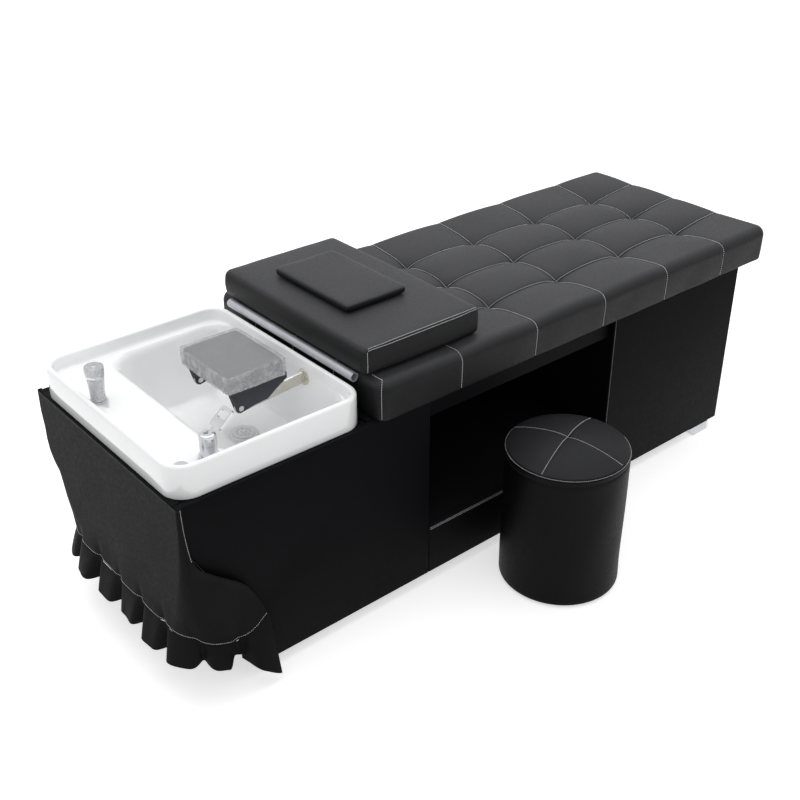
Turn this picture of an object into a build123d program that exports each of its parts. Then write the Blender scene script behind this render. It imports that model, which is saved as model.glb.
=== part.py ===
from build123d import *
import math
import os

# Hair washing bed: a leather-covered box base with a white wash basin at its head end,
# a thick bed cushion, loose pillows, a cloth skirt and a matching round stool.
# Millimetres, +Z up. The origin is on the floor under the middle of the base.
# +X runs from the basin to the foot end, and -Y is the side with the open recess.

os.makedirs("parts", exist_ok=True)

# Clearances and shared values
cut_overrun = 5.0
pivot_clearance = 0.05
slide_clearance = 0.08
side_clearance = 0.5
soft_clearance = 0.4

# Base box
base_length = 1825.0
base_width = 620.0
base_top = 529.0
foot_height = 30.0
panel_thickness = 18.0
head_block_length = 660.0
foot_cabinet_length = 530.0
recess_floor_height = 170.0
knee_setback = 165.0
knee_edge_shares = [(0, 0.90), (0.05, 0.82), (0.135, 0.745), (0.30, 0.65), (0.375, 0.60),
                    (0.54, 0.56), (0.84, 0.46), (1, 0.34)]
apron_height = 88.0
rail_width = 40.0
rail_thickness = 22.0
post_size = 38.0
trim_height = 9.0
trim_thickness = 2.0
deck_basin_gap = 5.5

# Feet
chrome_foot_length = 87.0
chrome_foot_bevel = 25.0
chrome_foot_depth = 55.0
chrome_foot_inset = 38.0
head_foot_from_setback = 12.0
head_foot_inset = 75.0
centre_foot_radius = 25.0
foot_screw_radius = 3.0
foot_screw_head_radius = 6.0
foot_screw_head_height = 3.5
foot_screw_length = 14.0
foot_screw_spacing = 34.0

# Wash basin
basin_inset = 4.5
basin_length = 480.0
basin_width = 600.0
basin_height = 77.0
basin_corner_radius = 55.0
basin_edge_radius = 7.0
basin_wall = 5.0
rim_width = 14.0
deck_drop = 31.0
deck_length = 135.0
deck_side = 34.0
bowl_depth = 160.0
bowl_taper_head = 70.0
bowl_taper_side = 95.0
bowl_top_radius = 60.0
bowl_bottom_radius = 70.0
bowl_belly_share = 0.55
bowl_belly_taper_share = 0.32
bowl_bed_taper = 14.0

# Waste fittings under the basin
drain_from_bed = 135.0
drain_bore_radius = 20.0
drain_neck_radius = 24.0
drain_flange_radius = 34.0
drain_flange_height = 3.0
drain_neck_length = 52.0
drain_washer_height = 3.0
drain_nut_radius = 34.0
drain_nut_height = 11.0
strainer_radius = 26.0
strainer_height = 3.0
strainer_stem_radius = 6.0
strainer_stem_length = 16.0
strainer_hole_radius = 2.2
strainer_hole_circle = 16.0
strainer_hole_count = 10
waste_pipe_radius = 20.0
waste_pipe_wall = 2.0
trap_radius = 34.0
trap_height = 120.0
trap_wall = 3.0
trap_cap_height = 16.0
trap_cap_radius = 37.0
waste_pipe_length = 190.0
waste_spigot_length = 50.0
waste_stop_radius = 23.5
waste_stop_width = 5.0
waste_bend_height = 38.0

# Mixer tap
mixer_from_head = 118.0
mixer_from_side = 52.0
mixer_body_radius = 18.0
mixer_body_height = 26.0
mixer_ring_radius = 22.0
mixer_ring_height = 4.0
mixer_shank_radius = 15.0
mixer_shank_length = 42.0
mixer_nut_radius = 22.0
mixer_nut_height = 9.0
mixer_spigot_radius = 9.0
mixer_spigot_height = 6.0
mixer_cap_height = 24.0
mixer_cap_fillet = 5.0
lever_pivot_height = 14.0
lever_pin_radius = 2.5
lever_hub_radius = 6.5
lever_hub_width = 12.0
lever_rise = 40.0
lever_length = 72.0
lever_blade_start = 24.0
lever_width = 38.0
lever_thickness = 6.0
lever_window_length = 18.0
lever_window_width = 26.0
lever_window_from_tip = 8.0
lever_corner = 8.0
inlet_radius = 6.0
inlet_wall = 1.5
inlet_length = 55.0
inlet_spacing = 17.0

# Pull-out sprayer
sprayer_from_head = 50.0
sprayer_side = 97.0
holder_ring_radius = 18.5
holder_ring_height = 5.0
holder_sleeve_radius = 14.5
holder_sleeve_length = 48.0
holder_nut_radius = 21.0
holder_nut_height = 8.0
sprayer_stem_radius = 11.5
sprayer_stem_length = 44.0
sprayer_base_radius = 16.0
sprayer_waist_radius = 14.0
sprayer_head_radius = 20.5
sprayer_height = 80.0
sprayer_flare_share = 0.18
sprayer_waist_share = 0.55
sprayer_neck_share = 0.72
sprayer_face_radius = 16.5
sprayer_face_height = 3.0
nozzle_radius = 1.2
nozzle_circle_shares = [(6, 0.36), (12, 0.72)]
nipple_radius = 7.0
nipple_length = 14.0

# Blanking cap of the unused tap hole
cap_from_head = 54.0
cap_from_side = 56.0
cap_radius = 15.0
cap_height = 3.0
cap_stem_radius = 11.0
cap_stem_length = 12.0

# Headrest over the basin
headrest_pivot_from_bed = 190.5
headrest_pivot_height = 547.5
headrest_arm_offset = 85.0
arm_depth = 27.0
arm_thickness = 6.0
arm_rise = 14.5
arm_flange_radius = 20.0
arm_flange_thickness = 4.0
stud_radius = 4.0
stud_length = 9.0
boss_radius = 16.0
boss_depth = 11.5
bracket_plate = 2.5
bracket_height = 48.0
bracket_drop = 12.0
bracket_head_reach = 26.0
bracket_reach = 126.0
bracket_edge_shares = [(0.30, 0.10), (0.57, 0.04), (0.74, -0.28), (1, -0.70)]
pin_radius = 4.0
pin_head_radius = 6.5
pin_head_height = 2.0
headrest_length = 155.0
headrest_width = 200.0
headrest_overhang = 35.0
headrest_board_thickness = 8.0
headrest_cushion_thickness = 35.0
headrest_board_inset = 3.0

# Bed cushion
cushion_basin_gap = 18.5
cushion_overhang_foot = 98.0
cushion_width = 650.0
cushion_crown = 98.0
cushion_corner_radius = 40.0
cushion_edge_radius = 35.0
cushion_board_thickness = 12.0
cushion_board_inset = 22.0

# Pillow, small pad and edge roll
pillow_overhang = 14.0
pillow_length = 352.0
pillow_width = 570.0
pillow_thickness = 76.0
pillow_side_height = 67.0
pillow_draw_in = 8.0
small_pad_from_pillow = 76.0
small_pad_length = 185.0
small_pad_width = 297.0
small_pad_shift = 18.0
small_pad_thickness = 22.0
small_pad_side_height = 17.0
small_pad_draw_in = 3.0
roll_radius = 11.0
roll_wall = 2.0
roll_length = 502.0
roll_shift = 11.0
roll_before_cushion = 5.0
roll_bore_depth = 60.0

# Cloth skirt at the head end
cloth_thickness = 2.5
skirt_reach = 178.0
skirt_hang_out = 16.0
skirt_side_out = 12.0
skirt_seam_height = 190.0
skirt_seam_dip = 48.0
skirt_level_shares = [1.0, 0.90, 0.82, 0.745, 0.65, 0.59, 0.46, 0.36, 0.22]
skirt_out_shares = [0, 0.04, 0.10, 0.20, 0.35, 0.45, 0.65, 0.80, 1.0]
skirt_back_radii = [3.5, 3.5, 15.0, 36.0, 75.0, 92.0, 148.0, 180.0, 186.0]
skirt_front_radii = [3.5, 3.5, 8.0, 14.0, 22.0, 30.0, 55.0, 78.0, 86.0]
lobe_edge_shares = [(0.05, 1.01), (0.06, 0.90), (0.09, 0.76), (0.25, 0.675), (0.50, 0.605),
                    (0.78, 0.515), (0.93, 0.41), (0.985, 0.35)]
seam_dip_shares = [(0, 0), (0.25, 0.55), (0.60, 1), (0.85, 0.70), (1, 0.05)]
hem_shares = [(0, 1), (0.25, 0.94), (0.60, 0.66), (1, 0)]
ruffle_top_out_share = 0.8
ruffle_out = 26.0
ruffle_half_waves = 19
ruffle_top_wave = 4.0
ruffle_hem_wave = 19.0
ruffle_top_height = 215.0
ruffle_end_reach = 192.0
ruffle_hem_height = 118.0
ruffle_hem_low = 14.0

# Round stool
stool_forward = 174.5
stool_from_head = 942.4
stool_radius = 150.0
stool_height = 405.0
stool_glide_radius = 14.0
stool_glide_height = 5.0
stool_glide_circle = 118.0
stool_glide_count = 4
stool_board_thickness = 15.0
stool_wall = 8.0
stool_cushion_side = 42.0
stool_dome_rise = 34.0
stool_seam_depth = 3.0
stool_seam_width = 6.0
stool_seam_turn = 17.0
stool_edge_radius = 5.0
stool_cover_fold = 2.5

# Places that follow from the sizes above
head_x = -base_length / 2
foot_x = base_length / 2
half_width = base_width / 2
inner_half_width = half_width - panel_thickness
recess_head_x = head_x + head_block_length
recess_foot_x = foot_x - foot_cabinet_length
basin_x0 = head_x + basin_inset
basin_x1 = basin_x0 + basin_length
basin_middle_x = (basin_x0 + basin_x1) / 2
rim_top = base_top + basin_height
deck_z = rim_top - deck_drop
basin_bottom_z = deck_z - bowl_depth
basin_half_width = basin_width / 2
drain_x = basin_x1 - drain_from_bed
deck_x0 = basin_x1 + deck_basin_gap
cushion_x0 = basin_x1 + cushion_basin_gap
cushion_x1 = foot_x + cushion_overhang_foot
cushion_bottom = base_top + soft_clearance
cushion_half_width = cushion_width / 2


def keep(piece, label):
    """Name a finished sub-part and write its file."""
    piece.part.label = label
    export_step(piece.part, f"parts/{label}.step")
    return piece.part


def board_set(label, spans):
    """Several like boards in one node, each a separate solid between two corners."""
    with BuildPart() as piece:
        for x_span, y_span, z_span in spans:
            with BuildSketch(Plane.XY.offset(z_span[0])):
                with Locations(((x_span[0] + x_span[1]) / 2, (y_span[0] + y_span[1]) / 2)):
                    Rectangle(x_span[1] - x_span[0], y_span[1] - y_span[0])
            extrude(amount=z_span[1] - z_span[0])
    return keep(piece, label)


def board(label, x_span, y_span, z_span):
    """A flat board between two opposite corners."""
    return board_set(label, [(x_span, y_span, z_span)])


def turned(label, centre, rings, bore=0, bore_span=(0, 0)):
    """Coaxial discs, each (radius, low, high), with an optional bore through a span."""
    with BuildPart() as piece:
        for radius, low, high in rings:
            with BuildSketch(Plane.XY.offset(low)):
                with Locations(centre):
                    Circle(radius)
            extrude(amount=high - low)
        if bore:
            with BuildSketch(Plane.XY.offset(bore_span[0])):
                with Locations(centre):
                    Circle(bore)
            extrude(amount=bore_span[1] - bore_span[0], mode=Mode.SUBTRACT)
    return keep(piece, label)


# Base panels

def side_panel(label, y_low, x_end):
    """A long side board whose head end is cut back below the apron for the knees."""
    edge = [(head_x + x * knee_setback, base_top * z) for x, z in knee_edge_shares]
    outline = [(head_x, base_top)] + edge + [(head_x + knee_setback, foot_height)]
    outline += [(x_end, foot_height), (x_end, base_top)]
    with BuildPart() as piece:
        with BuildSketch(Plane.XZ.offset(-(y_low + panel_thickness))):
            with BuildLine():
                Polyline(*outline, close=True)
            make_face()
        extrude(amount=panel_thickness)
    return keep(piece, label)


side_panel("front_head_panel", -half_width, recess_head_x)
side_panel("back_panel", inner_half_width, foot_x)
board("foot_cabinet_front", (recess_foot_x, foot_x), (-half_width, -inner_half_width),
      (foot_height, base_top))
board("foot_end_panel", (foot_x - panel_thickness, foot_x), (-inner_half_width, inner_half_width),
      (foot_height, base_top))
board("head_divider", (recess_head_x - panel_thickness, recess_head_x),
      (-inner_half_width, inner_half_width), (foot_height + panel_thickness, base_top - panel_thickness))
board("foot_divider", (recess_foot_x, recess_foot_x + panel_thickness),
      (-inner_half_width, inner_half_width), (foot_height + panel_thickness, base_top - panel_thickness))
board("recess_floor", (recess_head_x, recess_foot_x), (-inner_half_width, inner_half_width),
      (recess_floor_height - panel_thickness, recess_floor_height))
board("recess_fascia", (recess_head_x, recess_foot_x), (-half_width, -inner_half_width),
      (foot_height, recess_floor_height))
board("recess_edge_trim", (recess_head_x, recess_foot_x), (-half_width - trim_thickness, -half_width),
      (recess_floor_height - trim_height, recess_floor_height))
board("bottom_board", (head_x + knee_setback, foot_x - panel_thickness),
      (-inner_half_width, inner_half_width), (foot_height, foot_height + panel_thickness))
board("head_apron", (head_x, head_x + panel_thickness), (-inner_half_width, inner_half_width),
      (base_top - apron_height, base_top))
board("bed_deck", (deck_x0, foot_x - panel_thickness), (-inner_half_width, inner_half_width),
      (base_top - panel_thickness, base_top))


def inner_spans(depth):
    """The Y spans of a piece that lies against the inside of the front or back panel."""
    return [(-inner_half_width, depth - inner_half_width), (inner_half_width - depth, inner_half_width)]


board_set("basin_rails", [((head_x + panel_thickness, deck_x0 - side_clearance), y_span,
                           (base_top - basin_wall - rail_width, base_top - basin_wall))
                          for y_span in inner_spans(rail_thickness)])
board_set("deck_bearers", [((recess_head_x, recess_foot_x), y_span,
                            (base_top - panel_thickness - rail_width, base_top - panel_thickness))
                           for y_span in inner_spans(rail_thickness)])
board_set("corner_posts", [((post_x, post_x + post_size), y_span,
                            (foot_height + panel_thickness, base_top - panel_thickness))
                           for y_span in inner_spans(post_size)
                           for post_x in (recess_head_x - panel_thickness - post_size,
                                          foot_x - panel_thickness - post_size)])

# Feet: four bevelled chrome blocks, set in at the head end, and one round foot in the middle

foot_inner_shift = (chrome_foot_length - chrome_foot_bevel) / 2
foot_ends = [(-1, head_x + knee_setback + head_foot_from_setback, half_width - head_foot_inset),
             (1, foot_x - chrome_foot_inset, half_width)]
with BuildPart() as chrome_feet:
    for end, end_x, end_y in foot_ends:
        inner_top_x = end_x - end * chrome_foot_length
        inner_low_x = inner_top_x + end * chrome_foot_bevel
        for side in (-1, 1):
            near_y = end_y if side > 0 else -end_y + chrome_foot_depth
            with BuildSketch(Plane.XZ.offset(-near_y)):
                with BuildLine():
                    Polyline((inner_top_x, foot_height), (inner_low_x, 0), (end_x, 0),
                             (end_x, foot_height), close=True)
                make_face()
            extrude(amount=chrome_foot_depth)
            foot_y = side * (end_y - chrome_foot_depth / 2)
            foot_mid_x = end_x - end * foot_inner_shift
            for shift in (-1, 1):
                with BuildSketch(Plane.XY.offset(0)):
                    with Locations((foot_mid_x + shift * foot_screw_spacing / 2, foot_y)):
                        Circle(foot_screw_radius + side_clearance)
                extrude(amount=foot_height, mode=Mode.SUBTRACT)
                with BuildSketch(Plane.XY.offset(0)):
                    with Locations((foot_mid_x + shift * foot_screw_spacing / 2, foot_y)):
                        Circle(foot_screw_head_radius + side_clearance)
                extrude(amount=foot_height - foot_screw_length + foot_screw_head_height,
                        mode=Mode.SUBTRACT)
keep(chrome_feet, "chrome_feet")

with BuildPart() as foot_screws:
    head_low = foot_height - foot_screw_length
    for end, end_x, end_y in foot_ends:
        screw_mid_x = end_x - end * foot_inner_shift
        for side in (-1, 1):
            screw_y = side * (end_y - chrome_foot_depth / 2)
            for shift in (-1, 1):
                screw_x = screw_mid_x + shift * foot_screw_spacing / 2
                with BuildSketch(Plane.XY.offset(head_low)):
                    with Locations((screw_x, screw_y)):
                        Circle(foot_screw_head_radius)
                extrude(amount=foot_screw_head_height)
                with BuildSketch(Plane.XY.offset(head_low)):
                    with Locations((screw_x, screw_y)):
                        Circle(foot_screw_radius)
                extrude(amount=foot_screw_length)
keep(foot_screws, "foot_screws")

turned("centre_foot", (0, 0), [(centre_foot_radius, 0, foot_height)])

# Wash basin: a skirted rim over the box, a flat tap deck and a deep bowl


def bowl_section(depth_share, grow):
    """The bowl's outline at a share of its depth, as centre and size, grown by a wall."""
    if depth_share <= bowl_belly_share:
        taper = bowl_belly_taper_share * depth_share / bowl_belly_share
    else:
        rest = (depth_share - bowl_belly_share) / (1 - bowl_belly_share)
        taper = bowl_belly_taper_share + rest * (1 - bowl_belly_taper_share)
    x_low = basin_x0 + rim_width + deck_length + taper * bowl_taper_head - grow
    x_high = basin_x1 - rim_width - taper * bowl_bed_taper + grow
    half = basin_half_width - deck_side - taper * bowl_taper_side + grow
    radius = bowl_top_radius + depth_share * (bowl_bottom_radius - bowl_top_radius) + grow
    return (x_low + x_high) / 2, x_high - x_low, 2 * half, radius


def bowl_body(grow, low_extra):
    """The bowl's body as a ruled loft through three rounded rectangles."""
    with BuildPart() as body:
        for share in (0, bowl_belly_share, 1):
            middle, length, width, radius = bowl_section(share, grow)
            with BuildSketch(Plane.XY.offset(deck_z - share * (bowl_depth + low_extra))):
                with Locations((middle, 0)):
                    RectangleRounded(length, width, radius)
        loft(ruled=True)
    return body.part


mixer_x = head_x + mixer_from_head
mixer_y = -(basin_half_width - mixer_from_side)
sprayer_x = head_x + sprayer_from_head
cap_x = head_x + cap_from_head
cap_y = -(basin_half_width - cap_from_side)
pivot_x = basin_x1 - headrest_pivot_from_bed
pivot_z = headrest_pivot_height
wall_x = basin_x1 - rim_width - bowl_bed_taper * bowl_belly_taper_share
flange_z = pivot_z + arm_rise
arm_end_x = basin_x1 - rim_width

bowl_outside = bowl_body(basin_wall, basin_wall)
bowl_inside = bowl_body(0, 0)
with BuildPart() as wash_basin:
    with BuildSketch(Plane.XY.offset(base_top)):
        with Locations((basin_middle_x, 0)):
            RectangleRounded(basin_length, basin_width, basin_corner_radius)
    extrude(amount=basin_height)
    fillet(wash_basin.faces().sort_by(Axis.Z)[-1].edges(), basin_edge_radius)
    with BuildSketch(Plane.XY.offset(base_top)):
        with Locations((basin_middle_x, 0)):
            RectangleRounded(basin_length - 2 * basin_wall, basin_width - 2 * basin_wall,
                             basin_corner_radius - basin_wall)
    extrude(amount=basin_height - deck_drop - basin_wall, mode=Mode.SUBTRACT)
    add(bowl_outside)
    for side in (-1, 1):
        with BuildSketch(Plane.YZ.offset(basin_x1 - rim_width)):
            with Locations((side * headrest_arm_offset, flange_z)):
                Circle(boss_radius)
        extrude(amount=boss_depth)
        with BuildSketch(Plane.YZ.offset(wall_x - cut_overrun - bowl_bed_taper)):
            with Locations((side * headrest_arm_offset, flange_z)):
                Circle(arm_flange_radius + basin_wall)
        extrude(amount=arm_end_x - wall_x + cut_overrun + bowl_bed_taper + basin_wall)
    with BuildSketch(Plane.XY.offset(deck_z)):
        with Locations((basin_middle_x, 0)):
            RectangleRounded(basin_length - 2 * rim_width, basin_width - 2 * rim_width,
                             basin_corner_radius - rim_width)
    extrude(amount=deck_drop + cut_overrun, mode=Mode.SUBTRACT)
    add(bowl_inside, mode=Mode.SUBTRACT)
    for side in (-1, 1):
        with BuildSketch(Plane.YZ.offset(arm_end_x - bowl_bed_taper - 2 * cut_overrun)):
            with Locations((side * headrest_arm_offset, flange_z)):
                Circle(arm_flange_radius + basin_wall + cut_overrun)
        extrude(amount=bowl_bed_taper + 2 * cut_overrun, mode=Mode.SUBTRACT)
        with BuildSketch(Plane.YZ.offset(arm_end_x - cut_overrun)):
            with Locations((side * headrest_arm_offset, flange_z)):
                Circle(stud_radius + pivot_clearance)
        extrude(amount=cut_overrun + stud_length, mode=Mode.SUBTRACT)
    for place, radius in (((mixer_x, mixer_y), mixer_shank_radius + side_clearance),
                          ((sprayer_x, sprayer_side), holder_sleeve_radius + side_clearance),
                          ((cap_x, cap_y), cap_stem_radius + side_clearance)):
        with BuildSketch(Plane.XY.offset(deck_z - basin_wall - cut_overrun)):
            with Locations(place):
                Circle(radius)
        extrude(amount=basin_wall + 2 * cut_overrun, mode=Mode.SUBTRACT)
    with BuildSketch(Plane.XY.offset(basin_bottom_z - basin_wall - cut_overrun)):
        with Locations((drain_x, 0)):
            Circle(drain_neck_radius + side_clearance)
    extrude(amount=basin_wall + 2 * cut_overrun, mode=Mode.SUBTRACT)
keep(wash_basin, "wash_basin")

# Waste: flange, strainer, washer, nut, tail, bottle trap and the pipe to the drain

drain_place = (drain_x, 0)
drain_low = basin_bottom_z - drain_neck_length
turned("drain_flange", drain_place,
       [(drain_flange_radius, basin_bottom_z, basin_bottom_z + drain_flange_height),
        (drain_neck_radius, drain_low, basin_bottom_z + drain_flange_height)],
       drain_bore_radius, (drain_low - cut_overrun, basin_bottom_z + drain_flange_height + cut_overrun))
washer_low = basin_bottom_z - basin_wall - drain_washer_height
turned("drain_washer", drain_place, [(drain_nut_radius, washer_low, washer_low + drain_washer_height)],
       drain_neck_radius + pivot_clearance,
       (washer_low - cut_overrun, washer_low + drain_washer_height + cut_overrun))

with BuildPart() as drain_nut:
    with BuildSketch(Plane.XY.offset(washer_low - drain_nut_height)):
        with Locations(drain_place):
            RegularPolygon(drain_nut_radius, 6)
            Circle(drain_neck_radius + pivot_clearance, mode=Mode.SUBTRACT)
    extrude(amount=drain_nut_height)
keep(drain_nut, "drain_nut")

strainer_low = basin_bottom_z + drain_flange_height + soft_clearance
with BuildPart() as drain_strainer:
    with BuildSketch(Plane.XY.offset(strainer_low)):
        with Locations(drain_place):
            Circle(strainer_radius)
            with PolarLocations(strainer_hole_circle, strainer_hole_count):
                Circle(strainer_hole_radius, mode=Mode.SUBTRACT)
    extrude(amount=strainer_height)
    with BuildSketch(Plane.XY.offset(strainer_low - strainer_stem_length)):
        with Locations(drain_place):
            Circle(strainer_stem_radius)
    extrude(amount=strainer_stem_length + 2 * strainer_height)
keep(drain_strainer, "drain_strainer")

trap_top = drain_low
trap_low = trap_top - trap_height
turned("bottle_trap", drain_place,
       [(trap_radius, trap_low, trap_top - trap_cap_height),
        (trap_cap_radius, trap_top - trap_cap_height, trap_top)],
       trap_radius - trap_wall, (trap_low + trap_wall, trap_top - trap_wall))
waste_axis_z = trap_low + trap_height - trap_cap_height - waste_bend_height
waste_end_x = drain_x - trap_radius - waste_pipe_length
with BuildPart() as waste_pipe:
    with BuildSketch(Plane.YZ.offset(waste_end_x)):
        with Locations((0, waste_axis_z)):
            Circle(waste_pipe_radius)
            Circle(waste_pipe_radius - waste_pipe_wall, mode=Mode.SUBTRACT)
    extrude(amount=waste_pipe_length + trap_radius)
    # The collar that stops the waste hose
    with BuildSketch(Plane.YZ.offset(waste_end_x + waste_spigot_length)):
        with Locations((0, waste_axis_z)):
            Circle(waste_stop_radius)
            Circle(waste_pipe_radius - waste_pipe_wall, mode=Mode.SUBTRACT)
    extrude(amount=waste_stop_width)
    with BuildSketch(Plane.XY.offset(waste_axis_z - 2 * waste_pipe_radius)):
        with Locations(drain_place):
            Circle(trap_radius)
    extrude(amount=2 * 2 * waste_pipe_radius, mode=Mode.SUBTRACT)
keep(waste_pipe, "waste_pipe")

# Mixer tap: ring and body on the deck, nut and tails below, turning cap and lifting lever

mixer_place = (mixer_x, mixer_y)
mixer_base_z = deck_z + mixer_ring_height
mixer_top_z = mixer_base_z + mixer_body_height
shank_low = deck_z - mixer_shank_length
turned("mixer_ring", mixer_place, [(mixer_ring_radius, deck_z, mixer_base_z)],
       mixer_shank_radius + pivot_clearance, (deck_z - cut_overrun, mixer_base_z + cut_overrun))
turned("mixer_body", mixer_place,
       [(mixer_shank_radius, shank_low, mixer_base_z),
        (mixer_body_radius, mixer_base_z, mixer_top_z),
        (mixer_spigot_radius, mixer_top_z, mixer_top_z + mixer_spigot_height)])
turned("mixer_nut", mixer_place,
       [(mixer_nut_radius, deck_z - basin_wall - mixer_nut_height, deck_z - basin_wall)],
       mixer_shank_radius + pivot_clearance,
       (deck_z - basin_wall - mixer_nut_height - cut_overrun, deck_z))
for tail_name, shift in (("hot_inlet", -1), ("cold_inlet", 1)):
    turned(tail_name, (mixer_x + shift * inlet_spacing / 2, mixer_y),
           [(inlet_radius, shank_low - inlet_length, shank_low)],
           inlet_radius - inlet_wall, (shank_low - inlet_length - cut_overrun, shank_low))

cap_low = mixer_top_z + soft_clearance
lever_z = cap_low + lever_pivot_height
with BuildPart() as mixer_cap:
    with BuildSketch(Plane.XY.offset(cap_low)):
        with Locations(mixer_place):
            Circle(mixer_body_radius)
    extrude(amount=mixer_cap_height)
    fillet(mixer_cap.faces().sort_by(Axis.Z)[-1].edges(), mixer_cap_fillet)
    with BuildSketch(Plane.XY.offset(cap_low)):
        with Locations(mixer_place):
            Circle(mixer_spigot_radius + pivot_clearance)
    extrude(amount=mixer_spigot_height - soft_clearance + pivot_clearance, mode=Mode.SUBTRACT)
    slot_low = lever_z - lever_hub_radius - side_clearance
    with BuildSketch(Plane.XY.offset(slot_low)):
        with Locations((mixer_x + (mixer_body_radius + cut_overrun - lever_hub_radius) / 2, mixer_y)):
            Rectangle(mixer_body_radius + cut_overrun + lever_hub_radius + 2 * side_clearance,
                      lever_hub_width + 2 * side_clearance)
    extrude(amount=mixer_cap_height, mode=Mode.SUBTRACT)
    with BuildSketch(Plane.XZ.offset(-mixer_y)):
        with Locations((mixer_x, lever_z)):
            Circle(lever_pin_radius + pivot_clearance)
    extrude(amount=mixer_body_radius + cut_overrun, both=True, mode=Mode.SUBTRACT)
keep(mixer_cap, "mixer_cap")

with BuildPart() as lever_pin:
    with BuildSketch(Plane.XZ.offset(-mixer_y)):
        with Locations((mixer_x, lever_z)):
            Circle(lever_pin_radius)
    extrude(amount=mixer_body_radius - 2 * lever_pin_radius, both=True)
keep(lever_pin, "lever_pin")

lever_along = Vector(math.cos(math.radians(lever_rise)), 0, math.sin(math.radians(lever_rise)))
lever_normal = Vector(-math.sin(math.radians(lever_rise)), 0, math.cos(math.radians(lever_rise)))
lever_plane = Plane(origin=Vector(mixer_x, mixer_y, lever_z) - lever_normal * (lever_thickness / 2),
                    x_dir=lever_along, z_dir=lever_normal)
window_middle = lever_length - lever_window_from_tip - lever_window_length / 2
with BuildPart() as mixer_lever:
    with BuildSketch(lever_plane):
        with Locations((lever_blade_start / 2, 0)):
            Rectangle(lever_blade_start, lever_hub_width)
        with Locations(((lever_blade_start + lever_length) / 2, 0)):
            RectangleRounded(lever_length - lever_blade_start, lever_width, lever_corner)
        with Locations((window_middle, 0)):
            RectangleRounded(lever_window_length, lever_window_width, lever_corner / 2,
                             mode=Mode.SUBTRACT)
    extrude(amount=lever_thickness)
    with BuildSketch(Plane.XZ.offset(-mixer_y)):
        with Locations((mixer_x, lever_z)):
            Circle(lever_hub_radius)
    extrude(amount=lever_hub_width / 2, both=True)
    with BuildSketch(Plane.XZ.offset(-mixer_y)):
        with Locations((mixer_x, lever_z)):
            Circle(lever_pin_radius + pivot_clearance)
    extrude(amount=lever_hub_width, both=True, mode=Mode.SUBTRACT)
keep(mixer_lever, "mixer_lever")

# Pull-out sprayer in its deck holder, and the blanking cap

sprayer_place = (sprayer_x, sprayer_side)
holder_top = deck_z + holder_ring_height
turned("sprayer_holder", sprayer_place,
       [(holder_sleeve_radius, holder_top - holder_sleeve_length, holder_top),
        (holder_ring_radius, deck_z, holder_top)],
       sprayer_stem_radius + slide_clearance,
       (holder_top - holder_sleeve_length - cut_overrun, holder_top + cut_overrun))
turned("holder_nut", sprayer_place,
       [(holder_nut_radius, deck_z - basin_wall - holder_nut_height, deck_z - basin_wall)],
       holder_sleeve_radius + pivot_clearance,
       (deck_z - basin_wall - holder_nut_height - cut_overrun, deck_z))

sprayer_low = holder_top + soft_clearance
sprayer_top = sprayer_low + sprayer_height
stem_low = sprayer_low - sprayer_stem_length
with BuildPart() as sprayer_body:
    with BuildSketch(Plane.XZ.offset(-sprayer_side)):
        with BuildLine():
            Polyline(
                (sprayer_x, sprayer_top),
                (sprayer_x, stem_low),
                (sprayer_x + sprayer_stem_radius, stem_low),
                (sprayer_x + sprayer_stem_radius, sprayer_low),
                (sprayer_x + sprayer_base_radius, sprayer_low),
                (sprayer_x + sprayer_waist_radius, sprayer_low + sprayer_flare_share * sprayer_height),
                (sprayer_x + sprayer_waist_radius, sprayer_low + sprayer_waist_share * sprayer_height),
                (sprayer_x + sprayer_head_radius, sprayer_low + sprayer_neck_share * sprayer_height),
                (sprayer_x + sprayer_head_radius, sprayer_top),
                close=True)
        make_face()
    revolve(axis=Axis((sprayer_x, sprayer_side, 0), (0, 0, 1)))
    with BuildSketch(Plane.XY.offset(sprayer_top - sprayer_face_height)):
        with Locations(sprayer_place):
            Circle(sprayer_face_radius + pivot_clearance)
    extrude(amount=sprayer_face_height + cut_overrun, mode=Mode.SUBTRACT)
keep(sprayer_body, "sprayer_body")

with BuildPart() as sprayer_face:
    with BuildSketch(Plane.XY.offset(sprayer_top - sprayer_face_height)):
        with Locations(sprayer_place):
            Circle(sprayer_face_radius)
            for count, radius_share in nozzle_circle_shares:
                with PolarLocations(radius_share * sprayer_face_radius, count):
                    Circle(nozzle_radius, mode=Mode.SUBTRACT)
    extrude(amount=sprayer_face_height)
keep(sprayer_face, "sprayer_face")
turned("hose_nipple", sprayer_place, [(nipple_radius, stem_low - nipple_length, stem_low)])
turned("tap_hole_cap", (cap_x, cap_y),
       [(cap_radius, deck_z, deck_z + cap_height),
        (cap_stem_radius, deck_z - cap_stem_length, deck_z + cap_height)])

# Headrest: two steel arms on the basin's wall, and a padded board that tilts on their ends

half_arm = arm_depth / 2


def headrest_arm(label, y_middle):
    """A flat steel arm with a round end at the pivot and a disc flange at the wall."""
    with BuildPart() as piece:
        with BuildSketch(Plane.XZ.offset(-y_middle)):
            with Locations((pivot_x, pivot_z)):
                Circle(half_arm)
            with BuildLine():
                Polyline((pivot_x, pivot_z - half_arm), (arm_end_x, flange_z - half_arm),
                         (arm_end_x, flange_z + half_arm), (pivot_x, pivot_z + half_arm), close=True)
            make_face()
            with Locations((pivot_x, pivot_z)):
                Circle(pin_radius + pivot_clearance, mode=Mode.SUBTRACT)
        extrude(amount=arm_thickness / 2, both=True)
        with BuildSketch(Plane.YZ.offset(arm_end_x - arm_flange_thickness)):
            with Locations((y_middle, flange_z)):
                Circle(arm_flange_radius)
        extrude(amount=arm_flange_thickness)
    return keep(piece, label)


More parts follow.
